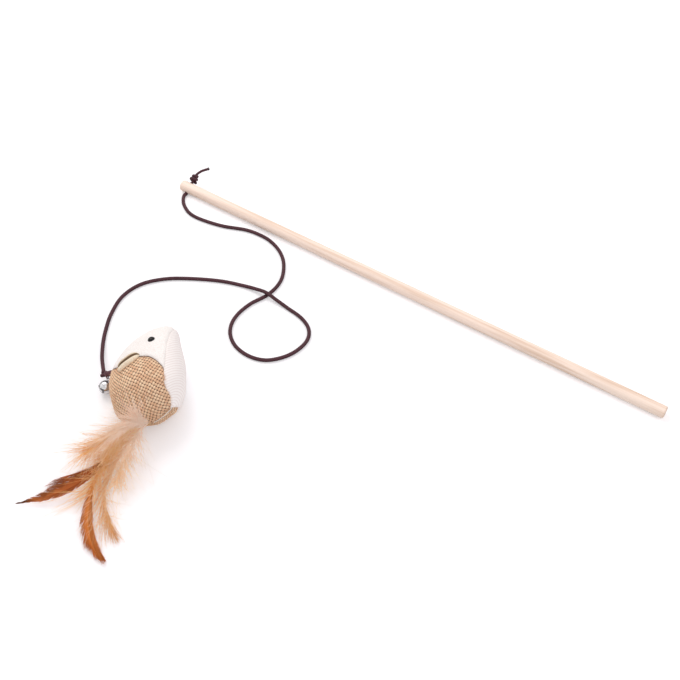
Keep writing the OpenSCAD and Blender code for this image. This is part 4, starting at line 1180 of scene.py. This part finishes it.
class TEASER_OT_mouse(PieceOperator):
    """Builds the mouse's cloth panels, its stuffing and its closing thread"""
    bl_idname = "teaser.mouse"
    bl_label = "Mouse Panels"

    def build(self, s):
        m, f, mouse = s.mouse, s.finish, Mouse()
        burlap = woven_finish("burlap_weave", f.burlap, f.burlap_shade, 0.78, 0.8, 0.1,
                              relief=0.00042, gap_low=0.2, gap_high=0.57)
        cotton = woven_finish("white_cotton", f.cotton, f.cotton_shade, 0.96, 0.7, 0.15,
                              relief=0.00009)
        for head in (True, False):
            for side in (-1, 1):
                self.side_panel(mouse, m, head, side, cotton if head else burlap)
        self.belly(mouse, m, ribbed_finish())
        self.stuffing(mouse)
        self.closing_thread(mouse)

    def side_panel(self, mouse, m, head, side, finish):
        """One of the four side cloths: smooth cotton on the head, coarse burlap on the body."""
        name = f"{'head' if head else 'body'}_{'right' if side < 0 else 'left'}"
        seed = 11 + (side > 0) * 5 + head * 9
        grid, x = panel_grid(mouse, head, side, (0.5 if head else 0.36) * MM)
        from_belly, back = grid_arcs(grid, 1), grid_arcs(grid, 0)
        from_ridge = from_belly[:, -1:] - from_belly
        if head:
            row, col, slub, drift = back / m.cotton_pitch, from_ridge / m.cotton_pitch, 0.08, 0.5
        else:
            row, col = self.laid_flat(mouse, grid, side, m.burlap_pitch)
            slub, drift = 0.2, 0.9
        row = row + slub * noise2(col / 2.2, row / 9, seed) + drift * noise2(
            col / 14, row / 14, seed + 1)
        col = col + slub * noise2(col / 9, row / 2.2, seed + 2) + drift * noise2(
            col / 14, row / 14, seed + 3)
        relief = weave_height(row, col)
        relief = 0.03 * MM * relief if head else 0.5 * MM * (relief - 0.6)
        dents = 0.45 * MM * noise2(grid[..., 0] / (9 * MM), from_ridge / (8 * MM), seed + 4)
        if not head and side > 0:
            dents = dents - 1.3 * MM * np.clip((-0.55 - x / mouse.half) / 0.4, 0, 1)
        deep, belly_deep, pucker = (0.5, 0.4, 0.2) if head else (0.7, 1.0, 0.6)
        seams = [
            (back, from_belly, deep * MM, 0.9 * MM, 0.3 * MM, 3.4 * MM),
            (from_belly, back[:, :1], belly_deep * MM, 0.9 * MM, pucker * MM, 4.2 * MM),
            (from_ridge, back, 0.25 * MM, 0.8 * MM, 0.12 * MM, 3.1 * MM)]
        skin, normals = shaped_cloth(mouse, grid, x, relief + dents, seams, 0.35 * MM, seed)
        shade = 0.0 * back
        # Painted shade on the burlap: at the head seam, along the ridge seam, and towards the rump
        if not head:
            shade = (0.9 * np.exp(-(back / MM) ** 2)
                     + 0.45 * np.exp(-(from_ridge / (0.6 * MM)) ** 2)
                     + 0.12 * np.clip((-0.4 - x / mouse.half) / 0.5, 0, 1))
        obj = cloth_object(name + "_cloth", mouse.laid(skin), mouse.turned(normals),
                           mouse.cloth, finish, np.stack([row, col], -1), shade)
        if not head:
            self.fuzz(mouse, name, skin, normals, seed)
        declare(obj, "lure", "white_cloth" if head else "burlap", name, fill=0.9)

    @staticmethod
    def laid_flat(mouse, grid, side, pitch):
        """Weave coordinates of a cloth pulled over the flank and the rump, with no pole."""
        toward = unit((-0.5, 0.86 * side, 0.05))
        along_body = unit(np.array((1.0, 0, 0)) - toward * toward[0])
        p = grid - (-0.15 * mouse.half, 0, 0.38 * mouse.h)
        depth = p @ toward
        turn = np.arccos(np.clip(depth / np.linalg.norm(p, axis=-1), -0.999, 0.999))
        spread = turn / np.sin(turn) / pitch
        a, b = p @ along_body * spread, p @ np.cross(toward, along_body) * spread
        turn = math.radians(WEAVE_TURN)
        return a * math.cos(turn) - b * math.sin(turn), a * math.sin(turn) + b * math.cos(turn)

    @staticmethod
    def fuzz(mouse, name, skin, normals, seed):
        """Stray fibres over a burlap panel and a frayed fringe along its belly edge."""
        rng = np.random.RandomState(seed)
        rows, cols = skin.shape[:2]
        stray, fringe = 420, 260
        i = np.r_[rng.randint(2, rows - 2, stray), rng.randint(int(rows * 0.1), rows - 4, fringe)]
        j = np.r_[rng.randint(2, cols - 2, stray), rng.randint(0, 4, fringe)]
        outward = unit(skin[i, np.maximum(j - 2, 0)] - skin[i, j + 2])
        at, n = mouse.laid(skin[i, j]), mouse.turned(normals[i, j])
        hem = (np.arange(stray + fringe) >= stray)[:, None]
        aim = np.where(hem, mouse.turned(outward) * 0.8 + n * 0.35, n * 0.5)
        aim = unit(aim + rng.normal(0, 0.45, aim.shape))
        reach = rng.uniform(0.6, 1.9, len(i))[:, None] * MM
        tone = rng.uniform(0, 1, len(i))
        bend = above_floor(at, aim * reach, rng.normal(0, 0.4, aim.shape) * reach, FIBRE_CLEAR)
        finish = barb_finish(name + "_fibres", linear(252, 226, 200), linear(226, 176, 138),
                             linear(176, 122, 88), 0.4)
        obj = barbs(name + "_fuzz", at, aim * reach, bend, n, tone, tone, finish, 0.13 * MM,
                    seed, steps=5, ruffle=0.3 * MM, ruffle_size=0.001, tip=0.5, flat=1.0)
        declare(obj, "lure", "burlap")

    @staticmethod
    def belly(mouse, m, finish):
        step = 0.42 * MM
        mid, half = (mouse.rump_x + mouse.nose_x) / 2, (mouse.nose_x - mouse.rump_x) / 2
        t = np.linspace(0, 1, int((mouse.nose_x - mouse.rump_x) / step * 1.05))
        x = mid - half * np.cos(math.pi * t)
        x, side = np.meshgrid(x[x > -0.975 * mouse.half],
                              np.linspace(-1, 1, int(0.036 / step)), indexing="ij")
        grid = mouse.skin(x, np.maximum(mouse.seam_angle(x), 1.5) * np.abs(side), 1)
        grid[..., 1] *= np.sign(side)
        run, width = grid_arcs(grid, 0), grid_arcs(grid, 1)
        centre = width - width[:, -1:] / 2
        edge = np.minimum(width, width[:, -1:] - width)
        rib = run / m.rib_pitch - 0.32 * centre / m.rib_pitch + 0.25 * noise2(
            run / (8 * MM), centre / (6 * MM), 31)
        relief = 0.13 * MM * (np.abs(np.sin(np.pi * rib)) ** 0.8 - 0.6)
        relief = relief + 0.3 * MM * noise2(run / (10 * MM), centre / (9 * MM), 33)
        seams = [(edge, run, 0.5 * MM, 0.9 * MM, 0.25 * MM, 4.0 * MM)]
        skin, normals = shaped_cloth(mouse, grid, x, relief, seams, 0.3 * MM, 35)
        obj = cloth_object("belly_cloth", mouse.laid(skin), mouse.turned(normals), mouse.cloth,
                           finish, np.stack([rib, centre / (0.5 * MM)], -1))
        declare(obj, "lure", "ribbed_cloth", "belly_panel", fill=0.9)

    @staticmethod
    def stuffing(mouse):
        rows, cols = 48, 56
        mid, half = (mouse.nose_x + mouse.rump_x) / 2, (mouse.nose_x - mouse.rump_x) / 2
        x = mid - (half - 2 * mouse.cloth) * np.cos(math.pi * np.linspace(0.03, 0.97, rows))
        x, a = np.meshgrid(x, np.arange(cols) * 360 / cols, indexing="ij")
        p = mouse.skin(x, np.where(a <= 180, a, 360 - a), 1)
        p[..., 1] *= np.where(a <= 180, 1, -1)
        inward = mouse.core(x) - p
        away = np.linalg.norm(inward, axis=-1, keepdims=True)
        p = p + inward * np.minimum(2.4 * MM / away, 0.9)
        p += inward / away * 0.25 * MM * noise2(x / (3 * MM), a / 20, 41)[..., None]
        verts = mouse.laid(p).reshape(-1, 3)
        faces = [tuple(q[::-1]) for q in ring_faces(rows, cols)] + end_faces(rows, cols)
        if np.cross(verts[1] - verts[0], verts[cols] - verts[0]) @ (verts[0] - TOY_ORIGIN) >= 0:
            faces = [q[::-1] for q in faces]
        obj = mesh_object("stuffing_fill", verts, faces, fill_finish())
        declare(obj, "lure", "fill", "stuffing", fill=0.9)

    @staticmethod
    def closing_thread(mouse):
        x = mouse.rump_x + (-0.97 * mouse.half - mouse.rump_x) * np.linspace(0, 1, 40) ** 2
        p = mouse.skin(x, 0.0, 1)
        line = mouse.laid(p + unit(p - mouse.core(x)) * 0.8 * MM)
        declare(rod("closing_stitch", line, 0.25 * MM, 10, thread_finish()), "lure", "thread",
                "closing_thread")


class TEASER_OT_face(PieceOperator):
    """Builds the ears and finishes the bead eyes"""
    bl_idname = "teaser.face"
    bl_label = "Ears and Eyes"

    def build(self, s):
        bead = bead_finish()
        for node in ("eye_right", "eye_left"):
            refinish(node, bead)
        # The second colour is painted shade in the gaps between the ear cloth's yarns
        finish = woven_finish("ear_linen", s.finish.ear, linear(196, 158, 116), 0.9, 0.6, 0.15,
                              relief=0.00012)
        # The left ear lies pressed flat under the head
        for name, side, rise in (("ear_right", -1, 1.0), ("ear_left", 1, 0.2)):
            self.ear(Mouse(), s.mouse, name, side, rise, finish)

    @staticmethod
    def ear(mouse, m, name, side, rise, finish):
        lip, gap, rim = m.ear_lip, 0.9 * MM, 0.8 * MM
        h, base = m.ear_h * rise, 0.8 * MM * rise
        # Cross-section from the lip's foot over the roll, down the slot and over the rim
        shape = np.array([
            [-lip * 1.25, 0], [-lip * 1.5, h * 0.3], [-lip * 1.42, h * 0.68],
            [-lip * 1.05, h * 0.9], [-lip * 0.6, h * 0.86], [-lip * 0.3, h * 0.6],
            [-lip * 0.22, h * 0.3], [0, base * 0.8], [gap * 0.9, base * 0.9],
            [gap * 1.25, h * 0.5], [gap * 1.35, h * 0.85], [gap + rim * 0.85, h],
            [gap + rim * 1.3, h * 0.85], [gap + rim * 1.3, h * 0.3], [gap + rim, 0]])
        aside, high = through(np.c_[shape, np.zeros(len(shape))], 0.16 * MM)[:, :2].T
        # Painted shade inside the ear's slot, kept as the 'shade' attribute
        inside = (aside > -lip * 0.5) & (aside < gap * 1.5) & (high < h * 0.8)
        rows, cols = 72, len(aside)
        u = np.linspace(0, 1, rows)
        x = (0.06 * (1 - u) - 0.07 * u) * mouse.half
        angle = 102 * (1 - u) + 131.5 * u
        p = mouse.skin(x, angle, side)
        ahead = unit(mouse.skin(x + MM, angle, side) - mouse.skin(x - MM, angle, side))
        climb = unit(mouse.skin(x, angle + 2, side) - mouse.skin(x, angle - 2, side))
        n = unit(-side * np.cross(ahead, climb))
        across = unit(np.cross(n, climb)) * side
        taper = np.sqrt(np.maximum(0.08, 1 - (2 * u - 1) ** 4))
        wobble = 1 + 0.06 * noise2(u * 7, u * 0 + 0.5, 51)
        grid = (p[:, None] + 0.1 * MM * n[:, None]
                + (aside * (taper * wobble)[:, None])[..., None] * across[:, None]
                + (high * taper[:, None])[..., None] * n[:, None])
        verts = mouse.laid(grid).reshape(-1, 3)
        uvs = np.stack([grid_arcs(grid, 0), grid_arcs(grid, 1)], -1).reshape(-1, 2) / (0.62 * MM)
        faces = [tuple(q) for q in ring_faces(rows, cols)] + end_faces(rows, cols)
        volume = sum(np.dot(verts[q[0]] - verts[0], np.cross(verts[q[1]] - verts[0],
                                                             verts[q[2]] - verts[0]))
                     for q in faces)
        if volume < 0:
            faces = [q[::-1] for q in faces]
        obj = mesh_object(name + "_linen", verts, faces, finish,
                          uvs[[k for q in faces for k in q]],
                          {"shade": np.tile(inside * 0.92, rows)})
        declare(obj, "lure", "ear_cloth", name)


class TEASER_OT_bell(PieceOperator):
    """Finishes the jingle bell, its pellet and its tie"""
    bl_idname = "teaser.bell"
    bl_label = "Jingle Bell"

    def build(self, s):
        plate = metal_finish()
        for node in ("bell_cap", "bell_cup", "bell_eyelet"):
            refinish(node, plate)
        refinish("bell_pellet", steel_finish())
        refinish("bell_tie", binding_finish())


def vane_barbs(shaft, vane, rng):
    """Roots, aims, bends, lifts, shares and tufts of the barbs on both sides of a shaft."""
    t = carried_frames(shaft)[0]
    level = unit(np.cross(t, (0, 0, 1)))
    span = run_of(shaft)[-1]
    count = int(span / (vane.gap * MM))
    tilt, rows = math.radians(vane.tilt), []
    for way, shares in ((-1, vane.near), (1, vane.far)):
        u = np.clip((np.arange(count) + rng.uniform(-0.3, 0.3, count)) / count, 0, 1) * vane.stop
        ahead, out = unit(read_along(shaft, t, u)), unit(read_along(shaft, level, u)) * way
        if way > 0:
            out = unit(math.cos(tilt) * out + math.sin(tilt) * np.array((0, 0, 1.0)))
        up = np.cross(out, ahead)
        up = up * np.sign(up[:, 2:3])
        slant = np.radians(vane.slant + rng.uniform(-3, 3, count) - 12 * u)
        reach = np.interp(u, *zip(*shares)) * vane.width / 2 / np.sin(slant)
        reach = np.minimum(reach * rng.uniform(0.92, 1.06, count),
                           (vane.stop - u) * span + 2 * MM)
        tuft = np.floor(u * vane.tufts + 0.35 * np.sin(u * 37 + way))
        pull = ((tuft + 0.5) / vane.tufts - u) * span * 0.25
        stray = rng.uniform(-1, 1, (count, 3)) * (vane.loose * reach)[:, None]
        aim = reach[:, None] * (np.cos(slant)[:, None] * ahead + np.sin(slant)[:, None] * out)
        bend = ahead * (reach * vane.curl + pull)[:, None] + stray + up * (0.08 * reach)[:, None]
        lift = unit(up + out * 0.25 + rng.uniform(-0.25, 0.25, (count, 3)))
        rows.append((read_along(shaft, shaft, u), aim, bend, lift, u, tuft + 40 * (way > 0)))
    return [np.concatenate(k) for k in zip(*rows)]


class TEASER_OT_feathers(PieceOperator):
    """Builds the three vanes, the two plumes of down and the quills"""
    bl_idname = "teaser.feathers"
    bl_label = "Feather Tail"

    def build(self, s):
        g, f = s.feather, s.finish
        rng = np.random.RandomState(7)
        finishes = {
            "rust": barb_finish("rust_barbs", f.rust, linear(208, 122, 66), linear(104, 56, 32),
                                0.6, dark_tip=0.9, glow=0.05),
            "orange": barb_finish("orange_barbs", linear(226, 150, 84), f.orange,
                                  linear(140, 66, 26), 0.5, glow=0.06),
            "tan": barb_finish("tan_barbs", f.tan, linear(236, 178, 118), linear(190, 126, 78),
                               0.4, glow=0.1)}
        for k, vane in enumerate((
                Vane("rust", RUST_ROUTE, 1.7 * g.rust_w, RUST_FAR, RUST_NEAR, 0.15, 0.985, 0.0,
                     33, 12, 0.1, 35),
                Vane("orange", ORANGE_ROUTE, 1.12 * g.orange_w, ORANGE_FAR, ORANGE_NEAR, 0.16,
                     0.97, 0.02, 24, 7, 0.02, 10),
                Vane("tan", TAN_ROUTE, 1.15 * g.tan_w, TAN_SHARES, TAN_SHARES, 0.7, 0.93, 0.18,
                     17, 9, 0.1, 10))):
            name, finish = vane.name, finishes[vane.name]
            shaft = through(TAIL_BASE + vane.route * g.feather_len, 0.25 * MM)
            at, aim, bend, lift, u, tuft = vane_barbs(shaft, vane, rng)
            bend = above_floor(at, aim, bend, VANE_CLEAR)
            tone = (rng.uniform(0, 1, len(u)) * 0.4
                    + 0.6 * lattice(60 + k, 400)[tuft.astype(int) % 400])
            if name == "rust":
                tone = np.where(tuft < 40, 0.55 + 0.45 * tone, 0.6 * tone)
            declare(barbs(f"{name}_barbs", at, aim, bend, lift, tone, u, finish, g.barb_w,
                          k + 1, steps=7, ruffle=0.3 * MM, flat=0.25),
                    "lure", f"{name}_feather", f"feather_{name}")
            radii = np.interp(np.linspace(0, 1, len(shaft)), [0, 0.5, 1], [0.42, 0.24, 0.05])
            declare(rod(f"{name}_shaft", shaft[::3], radii[::3] * MM, 8, finish),
                    "lure", f"{name}_feather")
        self.down(g, rng)
        self.quills(quill_finish())

    @staticmethod
    def down(g, rng):
        cream = barb_finish("cream_down", linear(250, 230, 214), linear(252, 214, 168),
                            linear(236, 184, 138), 0.5, rough=0.8, sheen=0.3, glow=0.085)
        gold = barb_finish("golden_down", linear(255, 220, 164), linear(252, 186, 102),
                           linear(228, 140, 66), 0.55, rough=0.8, sheen=0.3, glow=0.075)
        for k, (name, route, count, low, high, size, aside, lifted, golden) in enumerate(DOWN):
            route = np.vstack([[(0.0, 0.0, 0.0)], route])
            shaft = through(TAIL_BASE + route * g.feather_len, 0.3 * MM)
            u = low + (high - low) * rng.beta(1.0, 1.1, count)
            at = read_along(shaft, shaft, u)
            ahead, across, rise = (unit(read_along(shaft, b, u)) for b in carried_frames(shaft))
            turn = rng.uniform(0, 2 * np.pi, count)
            out = np.cos(turn)[:, None] * across + 0.7 * np.sin(turn)[:, None] * rise
            out = unit(out + aside * SCREEN_RIGHT + (0, 0, lifted))
            if name == "puff":
                out = unit(out * 0.5 + 0.5 * SCREEN_AWAY + (0, 0, 0.8))
            reach = size * MM * rng.uniform(0.55, 1.5, count) * np.interp(
                u, [0, 0.3, 0.7, 1], [0.85, 1.2, 1.05, 0.7])
            slant = np.radians(rng.uniform(26, 70, count) + 30 * (name == "puff"))[:, None]
            aim = reach[:, None] * (np.cos(slant) * ahead + np.sin(slant) * out)
            clump = rng.normal(0, 0.3, (90, 3))[(u * 45).astype(int) + 45 * (turn > np.pi)]
            bend = reach[:, None] * (0.25 * ahead + clump + rng.normal(0, 0.13, (count, 3))
                                     - (0, 0, 0.12))
            coarse = rng.rand(count) < (0.18 if count > 400 else 1.0)
            lift = unit(out + rng.normal(0, 0.4, (count, 3)))
            obj = barbs(f"down_{name}", at, aim, above_floor(at, aim, bend, DOWN_CLEAR), lift,
                        rng.uniform(0, 1, count), u, gold if golden else cream, g.down_w,
                        11 + k, steps=6, ruffle=0.9 * MM, ruffle_size=0.004, tip=0.45, flat=0.6,
                        girth=np.where(coarse, 2.1, 1.0))
            declare(obj, "lure", "down",
                    *([f"plume_{name}"] if name in ("left", "right") else []))

    @staticmethod
    def quills(horn):
        parts = []
        across = unit(np.cross(TAIL_DIR, (0, 0, 1)))
        rise = np.cross(across, TAIL_DIR)
        # Place across and up, radius and length of each quill, in mm
        for a, b, r, reach in ((0.75, 0.2, 0.8, 12.5), (-0.7, 0.5, 0.75, 11.5),
                               (0.1, -0.75, 0.7, 10.5)):
            aside, end = (a * across + b * rise) * MM, TAIL_DIR * reach * MM
            line = through([TAIL_BASE + aside + TAIL_DIR * 0.1 * MM,
                            TAIL_BASE + aside + end * 0.5 + across * 0.15 * MM,
                            TAIL_BASE + aside * 0.6 + end], 0.4 * MM)
            size = np.interp(np.linspace(0, 1, len(line)), [0, 0.8, 1], [r, r * 0.7, r * 0.45])
            parts.append(tube(line, size * MM, 14))
        verts, faces, uv = joined(parts)
        declare(mesh_object("quill_ends", verts, faces, horn, uv), "lure", "quill",
                "quill_bundle")


class TEASER_PT_panel(bpy.types.Panel):
    """Lists the pieces of the teaser wand"""
    bl_label = "Teaser Wand"
    bl_idname = "TEASER_PT_panel"
    bl_space_type = "VIEW_3D"
    bl_region_type = "UI"
    bl_category = "Teaser Wand"

    def draw(self, context):
        s = context.scene.teaser_wand
        for title, group, operators in (
                ("Stage", None, (TEASER_OT_stage,)),
                ("Wand", s.wand, (TEASER_OT_cord, TEASER_OT_stick)),
                ("Mouse", s.mouse, (TEASER_OT_mouse, TEASER_OT_face, TEASER_OT_bell)),
                ("Feathers", s.feather, (TEASER_OT_feathers,)),
                ("Finishes", s.finish, ())):
            box = self.layout.box()
            box.label(text=title)
            for operator in operators:
                box.operator(operator.bl_idname)
            if group:
                for key in group.__annotations__:
                    box.prop(group, key)


STEPS = (TEASER_OT_stage, TEASER_OT_cord, TEASER_OT_stick, TEASER_OT_mouse, TEASER_OT_face,
         TEASER_OT_bell, TEASER_OT_feathers)
CLASSES = (WandSizes, MouseSizes, FeatherSizes, FinishColours, TeaserWand, *STEPS,
           TEASER_PT_panel)


def register():
    for cls in CLASSES:
        bpy.utils.register_class(cls)
    bpy.types.Scene.teaser_wand = bpy.props.PointerProperty(type=TeaserWand)


def unregister():
    del bpy.types.Scene.teaser_wand
    for cls in reversed(CLASSES):
        bpy.utils.unregister_class(cls)


def main():
    register()
    for step in STEPS:
        group, name = step.bl_idname.split(".")
        getattr(getattr(bpy.ops, group), name)()


if __name__ == "__main__":
    main()
